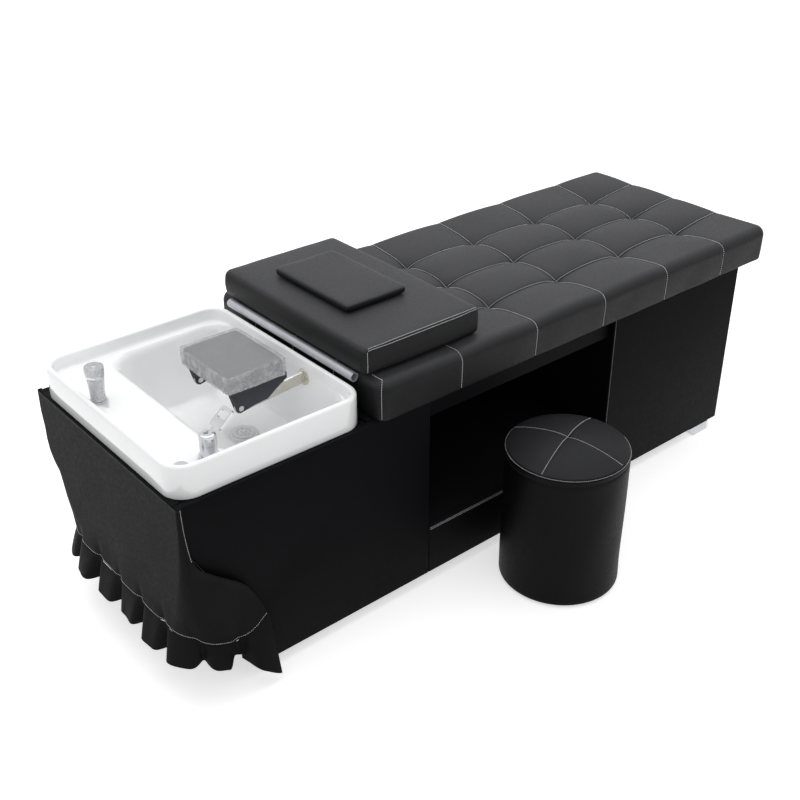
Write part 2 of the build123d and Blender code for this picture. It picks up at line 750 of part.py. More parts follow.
def headrest_bracket(label, y_middle):
    """A channel that straddles an arm, deep at its pivot and tapering to its other end."""
    web_z = pivot_z + bracket_height
    edge = [(pivot_x + x * bracket_reach, pivot_z - z * bracket_height)
            for x, z in bracket_edge_shares]
    half_gap = arm_thickness / 2 + side_clearance
    with BuildPart() as piece:
        with BuildSketch(Plane.XZ.offset(-y_middle)):
            with Locations((pivot_x, pivot_z)):
                Circle(bracket_drop)
            with BuildLine():
                Polyline((pivot_x - bracket_drop, pivot_z), (pivot_x, pivot_z - bracket_drop), *edge,
                         (pivot_x + bracket_reach, web_z), (pivot_x - bracket_head_reach, web_z),
                         close=True)
            make_face()
        extrude(amount=half_gap + bracket_plate, both=True)
        with BuildSketch(Plane.XY.offset(pivot_z - bracket_height)):
            with Locations((pivot_x, y_middle)):
                Rectangle(2 * (bracket_reach + cut_overrun), 2 * half_gap)
        extrude(amount=2 * bracket_height - bracket_plate, mode=Mode.SUBTRACT)
        with BuildSketch(Plane.XZ.offset(-y_middle)):
            with Locations((pivot_x, pivot_z)):
                Circle(pin_radius + pivot_clearance)
        extrude(amount=2 * arm_thickness, both=True, mode=Mode.SUBTRACT)
    return keep(piece, label)


for side_name, side in (("front", -1), ("back", 1)):
    headrest_arm(f"headrest_arm_{side_name}", side * headrest_arm_offset)
    headrest_bracket(f"headrest_bracket_{side_name}", side * headrest_arm_offset)

with BuildPart() as arm_studs:
    for side in (-1, 1):
        with BuildSketch(Plane.YZ.offset(arm_end_x)):
            with Locations((side * headrest_arm_offset, flange_z)):
                Circle(stud_radius)
        extrude(amount=stud_length)
keep(arm_studs, "arm_studs")

pin_half = arm_thickness / 2 + side_clearance + bracket_plate
with BuildPart() as headrest_pins:
    for side in (-1, 1):
        with BuildSketch(Plane.XZ.offset(-side * headrest_arm_offset)):
            with Locations((pivot_x, pivot_z)):
                Circle(pin_radius)
        extrude(amount=pin_half, both=True)
        for face in (-1, 1):
            face_y = side * headrest_arm_offset + face * pin_half
            head_y = face_y + pin_head_height if face > 0 else face_y
            with BuildSketch(Plane.XZ.offset(-head_y)):
                with Locations((pivot_x, pivot_z)):
                    Circle(pin_head_radius)
            extrude(amount=pin_head_height)
keep(headrest_pins, "headrest_pins")

headrest_x0 = pivot_x - headrest_overhang
headrest_x1 = headrest_x0 + headrest_length
headrest_board_z = pivot_z + bracket_height
headrest_half = headrest_width / 2
board("headrest_board", (headrest_x0 + headrest_board_inset, headrest_x1 - headrest_board_inset),
      (-headrest_half + headrest_board_inset, headrest_half - headrest_board_inset),
      (headrest_board_z, headrest_board_z + headrest_board_thickness))

# Soft pieces


def profile(first, last, bottom, edge_level, crown_level, draw_in):
    """A cushion's section: flat below, bulging sides and a crown."""
    low, high = first + draw_in, last - draw_in
    side_middle = (bottom + edge_level) / 2
    with BuildSketch() as section:
        with BuildLine():
            Line((low, bottom), (high, bottom))
            ThreePointArc((high, bottom), (last, side_middle), (high, edge_level))
            ThreePointArc((low, edge_level), ((low + high) / 2, crown_level), (high, edge_level))
            ThreePointArc((low, edge_level), (first, side_middle), (low, bottom))
        make_face()
    return section.sketch


def cushion_solid(x_span, y_span, bottom, edge_level, crown_level, draw_in, puff):
    """A crowned cushion: where its long section, its cross section and its plan overlap."""
    x_middle, y_middle = (x_span[0] + x_span[1]) / 2, (y_span[0] + y_span[1]) / 2
    x_half, y_half = (x_span[1] - x_span[0]) / 2, (y_span[1] - y_span[0]) / 2
    height = crown_level - bottom
    long_section = profile(x_span[0], x_span[1], bottom, edge_level, crown_level, draw_in)
    cross_section = profile(y_span[0], y_span[1], bottom, edge_level, crown_level, draw_in)
    x_low, x_high = x_span[0] + puff, x_span[1] - puff
    y_low, y_high = y_span[0] + puff, y_span[1] - puff
    with BuildPart() as cushion:
        with BuildSketch(Plane.XZ.offset(-y_middle)):
            add(long_section)
        extrude(amount=y_half, both=True)
        with BuildSketch(Plane.YZ.offset(x_middle)):
            add(cross_section)
        extrude(amount=x_half, both=True, mode=Mode.INTERSECT)
        with BuildSketch(Plane.XY.offset((bottom + crown_level) / 2)):
            with BuildLine():
                ThreePointArc((x_low, y_low), (x_middle, y_low - 2 * puff), (x_high, y_low))
                ThreePointArc((x_high, y_low), (x_high + 2 * puff, y_middle), (x_high, y_high))
                ThreePointArc((x_high, y_high), (x_middle, y_high + 2 * puff), (x_low, y_high))
                ThreePointArc((x_low, y_high), (x_low - 2 * puff, y_middle), (x_low, y_low))
            make_face()
        extrude(amount=height, both=True, mode=Mode.INTERSECT)
    return cushion.part


headrest_pad_z = headrest_board_z + headrest_board_thickness
headrest_pad_top = headrest_pad_z + headrest_cushion_thickness
headrest_form = cushion_solid((headrest_x0, headrest_x1), (-headrest_half, headrest_half),
                              headrest_pad_z, headrest_pad_top - headrest_board_inset,
                              headrest_pad_top, headrest_board_inset, headrest_board_inset / 2)
with BuildPart() as headrest_cushion:
    add(headrest_form)
keep(headrest_cushion, "headrest_cushion")

with BuildPart() as bed_cushion:
    with BuildSketch(Plane.XY.offset(cushion_bottom)):
        with Locations(((cushion_x0 + cushion_x1) / 2, 0)):
            RectangleRounded(cushion_x1 - cushion_x0, cushion_width, cushion_corner_radius)
    extrude(amount=cushion_crown)
    fillet(bed_cushion.faces().sort_by(Axis.Z)[-1].edges(), cushion_edge_radius)
    with BuildSketch(Plane.XY.offset(cushion_bottom)):
        with Locations(((cushion_x0 + cushion_x1) / 2, 0)):
            Rectangle(cushion_x1 - cushion_x0 - 2 * cushion_board_inset,
                      cushion_width - 2 * cushion_board_inset)
    extrude(amount=cushion_board_thickness, mode=Mode.SUBTRACT)
keep(bed_cushion, "bed_cushion")
board("cushion_board", (cushion_x0 + cushion_board_inset, cushion_x1 - cushion_board_inset),
      (-cushion_half_width + cushion_board_inset, cushion_half_width - cushion_board_inset),
      (cushion_bottom - soft_clearance, cushion_bottom + cushion_board_thickness - soft_clearance))

pillow_x0 = cushion_x0 - pillow_overhang
pillow_low = cushion_bottom + cushion_crown + soft_clearance
pillow_top = pillow_low + pillow_thickness
pillow_form = cushion_solid((pillow_x0, pillow_x0 + pillow_length),
                            (-pillow_width / 2, pillow_width / 2), pillow_low,
                            pillow_low + pillow_side_height, pillow_top, pillow_draw_in,
                            pillow_draw_in / 2)
with BuildPart() as pillow:
    add(pillow_form)
keep(pillow, "pillow")

small_pad_x0 = pillow_x0 + small_pad_from_pillow
small_pad_low = pillow_top + soft_clearance
small_pad_form = cushion_solid((small_pad_x0, small_pad_x0 + small_pad_length),
                               (small_pad_shift - small_pad_width / 2,
                                small_pad_shift + small_pad_width / 2), small_pad_low,
                               small_pad_low + small_pad_side_height,
                               small_pad_low + small_pad_thickness,
                               small_pad_draw_in, small_pad_draw_in / 2)
with BuildPart() as small_pad:
    add(small_pad_form)
keep(small_pad, "small_pad")

roll_x = cushion_x0 - roll_before_cushion
roll_rise = math.sqrt((cushion_edge_radius + roll_radius + soft_clearance) ** 2
                      - (cushion_edge_radius + roll_before_cushion) ** 2)
roll_z = cushion_bottom + cushion_crown - cushion_edge_radius + roll_rise
with BuildPart() as edge_roll:
    with BuildSketch(Plane.XZ.offset(-(roll_shift + roll_length / 2))):
        with Locations((roll_x, roll_z)):
            Circle(roll_radius)
    extrude(amount=roll_length)
    fillet(edge_roll.faces().sort_by(Axis.Y)[-1].edges(), roll_radius / 2)
    with BuildSketch(Plane.XZ.offset(-(roll_shift - roll_length / 2 + roll_bore_depth))):
        with Locations((roll_x, roll_z)):
            Circle(roll_radius - roll_wall)
    extrude(amount=roll_bore_depth + cut_overrun, mode=Mode.SUBTRACT)
keep(edge_roll, "edge_roll")

# Cloth skirt: a hanging panel that wraps the corners, and a gathered ruffle below it


def skirt_chain(out, side_out, back_radius, front_radius, reach, inward):
    """Corner points of the skirt's plan line, set inward by a part of the cloth."""
    face_x = head_x - out + inward
    back_y = half_width + side_out - inward
    front_y = -half_width - side_out + inward
    back_r = back_radius - inward
    front_r = front_radius - inward
    diagonal = math.sqrt(2) / 2
    end_x = head_x + reach
    return [
        (end_x, back_y),
        (face_x + back_r, back_y),
        (face_x + back_r * (1 - diagonal), back_y - back_r * (1 - diagonal)),
        (face_x, back_y - back_r),
        (face_x, front_y + front_r),
        (face_x + front_r * (1 - diagonal), front_y + front_r * (1 - diagonal)),
        (face_x + front_r, front_y),
        (end_x, front_y),
    ]


def draw_chain(points):
    """Line, corner arc, line, corner arc and line through a chain's points."""
    Line(points[0], points[1])
    ThreePointArc(points[1], points[2], points[3])
    Line(points[3], points[4])
    ThreePointArc(points[4], points[5], points[6])
    Line(points[6], points[7])


def side_curve_cutter(points, corners):
    """A cutter along Y through both sides: a spline through the points, closed by corners."""
    with BuildPart() as cutter:
        with BuildSketch(Plane.XZ):
            with BuildLine():
                Spline(*points)
                Polyline(points[-1], *corners, points[0])
            make_face()
        extrude(amount=base_width, both=True)
    return cutter.part


lobe_points = [(head_x + x * skirt_reach, z * base_top) for x, z in lobe_edge_shares]
lobe_far_x = head_x + 2 * ruffle_end_reach
seam_points = [(head_x + x * skirt_reach, skirt_seam_height - z * skirt_seam_dip)
               for x, z in seam_dip_shares]
front_of_face_x = head_x - 4 * ruffle_out

lobe_cutter = side_curve_cutter(lobe_points, [(head_x + skirt_reach, lobe_points[-1][1]),
                                              (lobe_far_x, lobe_points[-1][1]),
                                              (lobe_far_x, 2 * base_top),
                                              (lobe_points[0][0], 2 * base_top)])
below_seam_cutter = side_curve_cutter(seam_points, [(lobe_far_x, seam_points[-1][1]), (lobe_far_x, 0),
                                                    (front_of_face_x, 0),
                                                    (front_of_face_x, skirt_seam_height)])

with BuildPart() as skirt_panel:
    for level, out, back_r, front_r in zip(skirt_level_shares, skirt_out_shares, skirt_back_radii,
                                           skirt_front_radii):
        outs = (cloth_thickness + soft_clearance + out * skirt_hang_out,
                cloth_thickness + soft_clearance + out * skirt_side_out)
        with BuildSketch(Plane.XY.offset(level * base_top)):
            with BuildLine():
                outer = skirt_chain(*outs, back_r, front_r, skirt_reach, 0)
                inner = skirt_chain(*outs, back_r, front_r, skirt_reach, cloth_thickness)
                draw_chain(outer)
                Line(outer[7], inner[7])
                draw_chain(inner)
                Line(inner[0], outer[0])
            make_face()
    loft(ruled=True)
    add(lobe_cutter, mode=Mode.SUBTRACT)
    add(below_seam_cutter, mode=Mode.SUBTRACT)
keep(skirt_panel, "skirt_panel")


def ruffle_point(distance, push, out, side_out, back_radius, front_radius, reach):
    """A point at a distance along the skirt's plan line, pushed outward by an amount."""
    face_x = head_x - out
    back_y = half_width + side_out
    front_y = -half_width - side_out
    side_run = head_x + reach - face_x
    quarter = math.pi / 2
    lengths = [side_run - back_radius, quarter * back_radius,
               back_y - front_y - back_radius - front_radius, quarter * front_radius,
               side_run - front_radius]
    travel = distance * sum(lengths)
    if travel <= lengths[0]:
        return (head_x + reach - travel, back_y + push)
    travel -= lengths[0]
    if travel <= lengths[1]:
        angle = travel / back_radius
        radius = back_radius + push
        return (face_x + back_radius - radius * math.sin(angle),
                back_y - back_radius + radius * math.cos(angle))
    travel -= lengths[1]
    if travel <= lengths[2]:
        return (face_x - push, back_y - back_radius - travel)
    travel -= lengths[2]
    if travel <= lengths[3]:
        angle = travel / front_radius
        radius = front_radius + push
        return (face_x + front_radius - radius * math.cos(angle),
                front_y + front_radius - radius * math.sin(angle))
    travel -= lengths[3]
    return (face_x + front_radius + travel, front_y - push)


def ruffle_section(wave, out, side_out, reach):
    """A closed wavy band: arcs that swing out and in, drawn as two parallel layers."""
    plan = (out, side_out, skirt_back_radii[-1], skirt_front_radii[-1], reach)
    count = ruffle_half_waves
    joints = [Vector(*ruffle_point(index / count, 0, *plan)) for index in range(count + 1)]
    crests = [Vector(*ruffle_point((index + 1 / 2) / count, wave * (-1) ** index, *plan))
              for index in range(count)]
    joint_normals = [Vector() for _ in joints]
    crest_normals = []
    for index, crest in enumerate(crests):
        arc = ThreePointArc(joints[index], crest, joints[index + 1], mode=Mode.PRIVATE)
        outward = (-1) ** index
        crest_normals.append((crest - arc.arc_center).normalized() * outward)
        for end in (index, index + 1):
            joint_normals[end] += (joints[end] - arc.arc_center).normalized() * outward
    half_cloth = cloth_thickness / 2
    with BuildSketch() as section:
        with BuildLine():
            for layer in (half_cloth, -half_cloth):
                stops = [joint + normal.normalized() * layer
                         for joint, normal in zip(joints, joint_normals)]
                for index, crest in enumerate(crests):
                    ThreePointArc(stops[index], crest + crest_normals[index] * layer,
                                  stops[index + 1])
            for end in (0, -1):
                shift = joint_normals[end].normalized() * half_cloth
                Line(joints[end] + shift, joints[end] - shift)
        make_face()
    return section.sketch


hem_points = [(head_x + x * ruffle_end_reach, ruffle_hem_low + z * (ruffle_hem_height - ruffle_hem_low))
              for x, z in hem_shares]
above_seam_cutter = side_curve_cutter(
    [(x, z - soft_clearance) for x, z in seam_points],
    [(lobe_far_x, seam_points[-1][1] - soft_clearance), (lobe_far_x, base_top),
     (front_of_face_x, base_top), (front_of_face_x, skirt_seam_height - soft_clearance)])
hem_cutter = side_curve_cutter(hem_points, [(lobe_far_x, ruffle_hem_low), (lobe_far_x, -cut_overrun),
                                            (front_of_face_x, -cut_overrun),
                                            (front_of_face_x, ruffle_hem_height)])
ruffle_top = ruffle_section(ruffle_top_wave,
                            ruffle_top_out_share * skirt_hang_out + cloth_thickness / 2,
                            ruffle_top_out_share * skirt_side_out + cloth_thickness / 2, skirt_reach)
ruffle_low = ruffle_section(ruffle_hem_wave, ruffle_out, ruffle_out, ruffle_end_reach)
with BuildPart() as skirt_ruffle:
    with BuildSketch(Plane.XY.offset(ruffle_top_height)):
        add(ruffle_top)
    with BuildSketch(Plane.XY.offset(ruffle_hem_low)):
        add(ruffle_low)
    loft(ruled=True)
    add(above_seam_cutter, mode=Mode.SUBTRACT)
    add(hem_cutter, mode=Mode.SUBTRACT)
keep(skirt_ruffle, "skirt_ruffle")

# Round stool

stool_place = (head_x + stool_from_head, -(half_width + stool_forward))
stool_base_top = stool_glide_height + stool_board_thickness
stool_top_low = stool_height - stool_dome_rise - stool_cushion_side - stool_board_thickness
stool_cushion_low = stool_top_low + stool_board_thickness
with BuildPart() as stool_glides:
    with BuildSketch(Plane.XY.offset(0)):
        with Locations(stool_place):
            with PolarLocations(stool_glide_circle, stool_glide_count):
                Circle(stool_glide_radius)
    extrude(amount=stool_glide_height)
keep(stool_glides, "stool_glides")
turned("stool_base_board", stool_place, [(stool_radius - stool_wall, stool_glide_height, stool_base_top)])
turned("stool_drum", stool_place, [(stool_radius, stool_glide_height, stool_cushion_low)],
       stool_radius - stool_wall, (stool_glide_height - cut_overrun, stool_cushion_low + cut_overrun))
turned("stool_top_board", stool_place, [(stool_radius - stool_wall, stool_top_low, stool_cushion_low)])


stool_low = stool_cushion_low + soft_clearance
stool_rim = stool_radius - stool_cover_fold
stool_shoulder = stool_low + stool_cushion_side - stool_edge_radius
stool_edge = stool_rim - stool_edge_radius
stool_edge_z = stool_shoulder + stool_edge_radius
stool_corner = stool_edge_radius * math.sqrt(2) / 2
dome_radius = (stool_edge ** 2 + (stool_height - stool_edge_z) ** 2) / (2 * (stool_height - stool_edge_z))
dome_centre_z = stool_height - dome_radius
dome_half_z = dome_centre_z + math.sqrt(dome_radius ** 2 - stool_edge ** 2 / 4)
channel_radius = dome_radius - stool_seam_depth
stool_section = Plane(origin=(stool_place[0], stool_place[1], 0), x_dir=(1, 0, 0), z_dir=(0, -1, 0))
stool_axis = Axis((stool_place[0], stool_place[1], 0), (0, 0, 1))

with BuildPart() as seam_channels:
    with BuildSketch(Plane.XY.offset(stool_shoulder)):
        with Locations(stool_place):
            Rectangle(2 * (stool_radius + cut_overrun), stool_seam_width, rotation=stool_seam_turn)
            Rectangle(stool_seam_width, 2 * (stool_radius + cut_overrun), rotation=stool_seam_turn)
    extrude(amount=2 * stool_dome_rise)
    with BuildSketch(stool_section):
        with BuildLine():
            CenterArc((0, dome_centre_z), channel_radius, -90, 180)
            Line((0, dome_centre_z + channel_radius), (0, dome_centre_z - channel_radius))
        make_face()
    revolve(axis=stool_axis, mode=Mode.SUBTRACT)

with BuildPart() as stool_cushion:
    with BuildSketch(stool_section):
        with BuildLine():
            Polyline((0, stool_height), (0, stool_low), (stool_rim, stool_low))
            ThreePointArc((stool_rim, stool_low), (stool_radius, (stool_low + stool_shoulder) / 2),
                          (stool_rim, stool_shoulder))
            ThreePointArc((stool_rim, stool_shoulder),
                          (stool_edge + stool_corner, stool_shoulder + stool_corner),
                          (stool_edge, stool_edge_z))
            ThreePointArc((stool_edge, stool_edge_z), (stool_edge / 2, dome_half_z), (0, stool_height))
        make_face()
    revolve(axis=stool_axis)
    add(seam_channels.part, mode=Mode.SUBTRACT)
keep(stool_cushion, "stool_cushion")
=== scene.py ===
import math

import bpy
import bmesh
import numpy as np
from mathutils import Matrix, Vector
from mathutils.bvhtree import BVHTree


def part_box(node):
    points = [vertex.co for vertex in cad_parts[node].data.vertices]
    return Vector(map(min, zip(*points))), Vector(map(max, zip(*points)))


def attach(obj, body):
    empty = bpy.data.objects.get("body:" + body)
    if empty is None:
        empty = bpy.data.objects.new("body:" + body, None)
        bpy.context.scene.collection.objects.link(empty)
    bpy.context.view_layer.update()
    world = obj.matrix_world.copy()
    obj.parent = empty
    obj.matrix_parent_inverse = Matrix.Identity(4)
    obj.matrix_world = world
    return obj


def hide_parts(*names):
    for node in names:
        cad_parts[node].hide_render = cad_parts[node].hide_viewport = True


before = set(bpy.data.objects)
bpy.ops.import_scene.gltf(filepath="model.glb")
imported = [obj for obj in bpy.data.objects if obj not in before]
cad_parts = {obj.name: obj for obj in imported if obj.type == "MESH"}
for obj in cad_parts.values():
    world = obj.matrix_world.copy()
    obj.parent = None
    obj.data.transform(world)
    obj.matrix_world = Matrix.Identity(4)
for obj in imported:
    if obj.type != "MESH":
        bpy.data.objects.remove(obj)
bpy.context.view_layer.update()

# %% [markdown]
# # A hair washing bed in black leather
#
# The frame is already here: every rigid piece of the bed, at its real size, in metres. What it
# lacks is what hands and eyes notice first: soft cushions, hanging cloth, thread, glaze and
# leather. Each step below takes one piece, says what it is on the real bed and how it could be
# made, and then makes it as a surface: a function of two numbers, worked out for a whole grid at
# once with numpy. Sizes are written in millimetres, as a maker would, and turned into metres
# only when a mesh is made.

MM = 0.001

# %% [markdown]
# ## Grids become meshes
#
# A grid of points needs quads between its neighbours. The helpers here make those quads and
# hang a finished mesh on the right moving body. A closed surface has a signed volume: if the
# sum of the little tetrahedra from the origin to each face is negative, the faces point inwards
# and are turned round. That is cheaper and surer than thinking about each grid's direction.

# %% Quads, borders and lengths of a grid


def grid_faces(rows, columns, wrap=False):
    """Quads (i, j) (i+1, j) (i+1, j+1) (i, j+1) of a grid; wrap joins the last column to the first."""
    i, j = np.meshgrid(np.arange(rows - 1), np.arange(columns if wrap else columns - 1), indexing="ij")
    right = (j + 1) % columns
    quads = [i * columns + j, (i + 1) * columns + j, (i + 1) * columns + right, i * columns + right]
    return np.stack(quads, -1).reshape(-1, 4)


def grid_border(rows, columns):
    """The points round a grid's edge, in walking order."""
    return np.concatenate([np.arange(columns), np.arange(1, rows) * columns + columns - 1,
                           (rows - 1) * columns + np.arange(columns - 2, -1, -1),
                           np.arange(rows - 2, 0, -1) * columns])


def run_along(points):
    """The length walked up to each point of a line."""
    return np.concatenate([[0], np.cumsum(np.linalg.norm(np.diff(points, axis=0), axis=1))])


def around(middle, radius, turn):
    """x and y of points on a circle about an upright axis."""
    return middle[0] + radius * np.cos(turn), middle[1] + radius * np.sin(turn)


def unit(vectors):
    """Each vector divided by its length."""
    return vectors / (np.linalg.norm(vectors, axis=-1)[..., None] + 1e-9)


def signed_volume(points, faces):
    """Sum of p0 . (p1 x p2) / 6 over the faces, each cut into a fan of triangles."""
    total = 0.0
    for size in {len(face) for face in faces}:
        same = np.array([face for face in faces if len(face) == size])
        for k in range(1, size - 1):
            a, b, c = points[same[:, 0]], points[same[:, k]], points[same[:, k + 1]]
            total += np.einsum("ij,ij->", a, np.cross(b, c)) / 6
    return total


# %% A mesh on its body


def add_object(name, data):
    """A new object in the scene, at the origin."""
    thing = bpy.data.objects.new(name, data)
    bpy.context.scene.collection.objects.link(thing)
    return thing


def set_all(thing, **values):
    """Writes several settings of one thing."""
    for label, value in values.items():
        setattr(thing, label, value)


def add_modifier(piece, name, kind, **values):
    """A modifier with its settings."""
    modifier = piece.modifiers.new(name, kind)
    set_all(modifier, **values)
    return modifier


def make_piece(name, points, faces, material, body, closed=True, stands_for=()):
    """A smooth mesh from points in millimetres; a closed one has its faces turned outwards."""
    points = np.asarray(points, float).reshape(-1, 3)
    faces = [list(map(int, face)) for face in faces]
    if closed and signed_volume(points, faces) < 0:
        faces = [face[::-1] for face in faces]
    mesh = bpy.data.meshes.new(name)
    mesh.from_pydata((points * MM).tolist(), [], faces)
    mesh.polygons.foreach_set("use_smooth", np.ones(len(faces), bool))
    mesh.update()
    return finish_piece(add_object(name, mesh), material, body, stands_for)


def finish_piece(piece, material, body, stands_for=()):
    """Gives a piece its material and slot, the body it rides on and the nodes it stands for."""
    piece.data.materials.clear()
    piece.data.materials.append(material)
    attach(piece, body)
    if stands_for:
        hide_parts(*stands_for)
    return piece


# %% [markdown]
# ## The camera
#
# The photograph was taken from above the head end, with the front side to the right. The place
# and turn of the camera were solved from the straight edges of the box, so the render and the
# photograph can be laid over each other.

# %% Camera at the photograph's angle
yaw, pitch, roll = (math.radians(angle) for angle in (50.0716, -30.3558, -0.195))
forward = Vector((math.cos(yaw) * math.cos(pitch), math.sin(yaw) * math.cos(pitch), math.sin(pitch)))
level_right = Vector((math.sin(yaw), -math.cos(yaw), 0))
level_up = level_right.cross(forward)
right = math.cos(roll) * level_right + math.sin(roll) * level_up
up = math.cos(roll) * level_up - math.sin(roll) * level_right
camera_data = bpy.data.cameras.new("camera")
set_all(camera_data, lens=51.2, sensor_width=36.0)
camera = add_object("camera", camera_data)
camera_place = Vector((-1736.12, -1973.78, 1833.27)) * MM
camera.matrix_world = Matrix.Translation(camera_place) @ Matrix((right, up, -forward)).transposed().to_4x4()
bpy.context.scene.camera = camera
bpy.context.scene.view_settings.view_transform = "Standard"
print("camera at", tuple(round(value, 3) for value in camera.matrix_world.translation))

# %% [markdown]
# ## Light, backdrop and floor
#
# The photograph is a studio shot on white. A large soft lamp hangs over the bed, a second one
# lifts the side that faces the camera, and the white world is seen by the camera and by
# reflections but lights the object only weakly. Black leather shows mostly what it reflects, so
# this white world is what draws the pale sheen along the edges.

# %% Small helpers for node trees


def fill_sockets(tree, sockets, values):
    """Joins another node's output to each socket, or writes a plain value into it."""
    for label, value in values.items():
        if isinstance(value, bpy.types.NodeSocket):
            tree.links.new(value, sockets[label])
        else:
            sockets[label].default_value = value


def add_node(tree, kind, **values):
    """A node with its sockets filled; an underscore in a name stands for a space."""
    node = tree.nodes.new("ShaderNode" + kind)
    fill_sockets(tree, node.inputs, {label.replace("_", " "): value for label, value in values.items()})
    return node


def maths(tree, operation, first, second):
    """The result of a Math node."""
    node = tree.nodes.new("ShaderNodeMath")
    node.operation = operation
    fill_sockets(tree, node.inputs, {0: first, 1: second})
    return node.outputs[0]


def spread(tree, value, low, high, to_low=0.0, to_high=1.0):
    """A value's range from low to high, stretched to another range and clamped."""
    return add_node(tree, "MapRange", Value=value, From_Min=low, From_Max=high, To_Min=to_low,
                    To_Max=to_high).outputs["Result"]


# %% World


def light_share(tree, low, high):
    """low for rays that light a surface, high for rays that look, shine or pass through."""
    path = add_node(tree, "LightPath").outputs
    seen = maths(tree, "MAXIMUM", path["Is Camera Ray"], path["Is Glossy Ray"])
    return spread(tree, maths(tree, "MAXIMUM", seen, path["Is Transmission Ray"]), 0.0, 1.0, low, high)


WHITE = (1, 1, 1, 1)
world = bpy.data.worlds.new("white_studio")
world.use_nodes = True
sky = world.node_tree.nodes["Background"]
fill_sockets(world.node_tree, sky.inputs,
             {"Color": WHITE, "Strength": light_share(world.node_tree, 0.72, 1.0)})
bpy.context.scene.world = world

# %% Lamps


def soft_lamp(name, place, target, size, power):
    """A soft rectangular lamp at a place, turned to face a target, both in metres."""
    data = bpy.data.lights.new(name, "AREA")
    set_all(data, shape="RECTANGLE", size=size[0], size_y=size[1], energy=power)
    lamp = add_object(name, data)
    lamp.location = place
    lamp.rotation_euler = (Vector(target) - Vector(place)).to_track_quat("-Z", "Y").to_euler()
    return lamp


overhead = soft_lamp("overhead_lamp", (0.1, 0.5, 3.2), (0.0, 0.0, 0.4), (4.2, 3.4), 53)
side_fill = soft_lamp("side_fill", (-3.4, -2.6, 1.7), (-0.2, 0.0, 0.4), (2.2, 2.0), 5)
print("lamps:", overhead.data.energy, side_fill.data.energy)

# %% Floor that shows white but keeps the shadow
floor_reach = 30
floor_mesh = bpy.data.meshes.new("floor")
floor_mesh.from_pydata([(x * floor_reach, y * floor_reach, 0) for x, y in ((-1, -1), (1, -1), (1, 1), (-1, 1))],
                       [], [(0, 1, 2, 3)])
floor_paint = bpy.data.materials.new("floor_paint")
floor_paint.use_nodes = True
fill_sockets(floor_paint.node_tree, floor_paint.node_tree.nodes["Principled BSDF"].inputs,
             {"Base Color": (0.85, 0.85, 0.85, 1), "Roughness": 0.9, "Specular IOR Level": 0.0,
              "Emission Color": WHITE, "Emission Strength": light_share(floor_paint.node_tree, 0.0, 0.55)})
floor_mesh.materials.append(floor_paint)
add_object("floor", floor_mesh)

# %% [markdown]
# ## Finishes
#
# An effect that several finishes share is built once as a node group: leather grain with painted
# top light, which paints surfaces that face up paler than steep sides, the faint smears on glazed
# and polished things, and the grain of plain boards. A group gives out colours, values and heights
# only; the shader stays in each material.

# %% Helpers for shared effects


def new_group(name, defaults, outputs=("Color", "Roughness", "Height")):
    """A shader group whose sockets take their kind from their default or name, and its two ends."""
    group = bpy.data.node_groups.new(name, "ShaderNodeTree")
    for label, value in defaults.items():
        kind = "NodeSocketColor" if isinstance(value, tuple) else "NodeSocketFloat"
        group.interface.new_socket(label, in_out="INPUT", socket_type=kind).default_value = value
    for label in outputs:
        kind = "NodeSocketColor" if label == "Color" else "NodeSocketFloat"
        group.interface.new_socket(label, in_out="OUTPUT", socket_type=kind)
    return group, group.nodes.new("NodeGroupInput").outputs, group.nodes.new("NodeGroupOutput").inputs


def blend_colours(tree, share, first, second):
    """A colour between two, by a share from 0 to 1."""
    mix = tree.nodes.new("ShaderNodeMix")
    mix.data_type = "RGBA"
    fill_sockets(tree, mix.inputs, {0: share, 6: first, 7: second})
    return mix.outputs[2]


# %% Leather grain and painted top light, shared by every leather
grain, asked, made = new_group("leather_grain", {
    "Tone": (0.02, 0.02, 0.02, 1), "Top Light Tone": (0.03, 0.03, 0.03, 1), "Pebble Scale": 620.0,
    "Smooth Roughness": 0.42, "Rough Roughness": 0.56})
place = add_node(grain, "TexCoord").outputs
pebbles = add_node(grain, "TexVoronoi", Vector=place["Object"], Scale=asked["Pebble Scale"]).outputs["Distance"]
creases = add_node(grain, "TexNoise", Vector=place["Object"], Scale=150.0, Detail=4.0,
                   Roughness=0.6).outputs["Fac"]
clouds = add_node(grain, "TexNoise", Vector=place["Object"], Scale=3.2, Detail=3.0,
                  Roughness=0.55).outputs["Fac"]
upward = add_node(grain, "SeparateXYZ", Vector=place["Normal"]).outputs["Z"]
# painted top light and sheen: surfaces that face up get the paler second tone, steep sides the darker first tone
tone = blend_colours(grain, spread(grain, upward, 0.30, 0.97), asked["Tone"], asked["Top Light Tone"])
darker = add_node(grain, "VectorMath")
darker.operation = "SCALE"
fill_sockets(grain, darker.inputs, {0: tone, "Scale": maths(
    grain, "MULTIPLY", spread(grain, clouds, 0.34, 0.68, 0.88, 1.06),
    spread(grain, pebbles, 0.0, 0.75, 1.0, 0.84))})
fill_sockets(grain, made, {
    "Color": darker.outputs["Vector"], "Height": maths(grain, "SUBTRACT", creases, pebbles),
    "Roughness": spread(grain, creases, 0.3, 0.7, asked["Smooth Roughness"], asked["Rough Roughness"])})

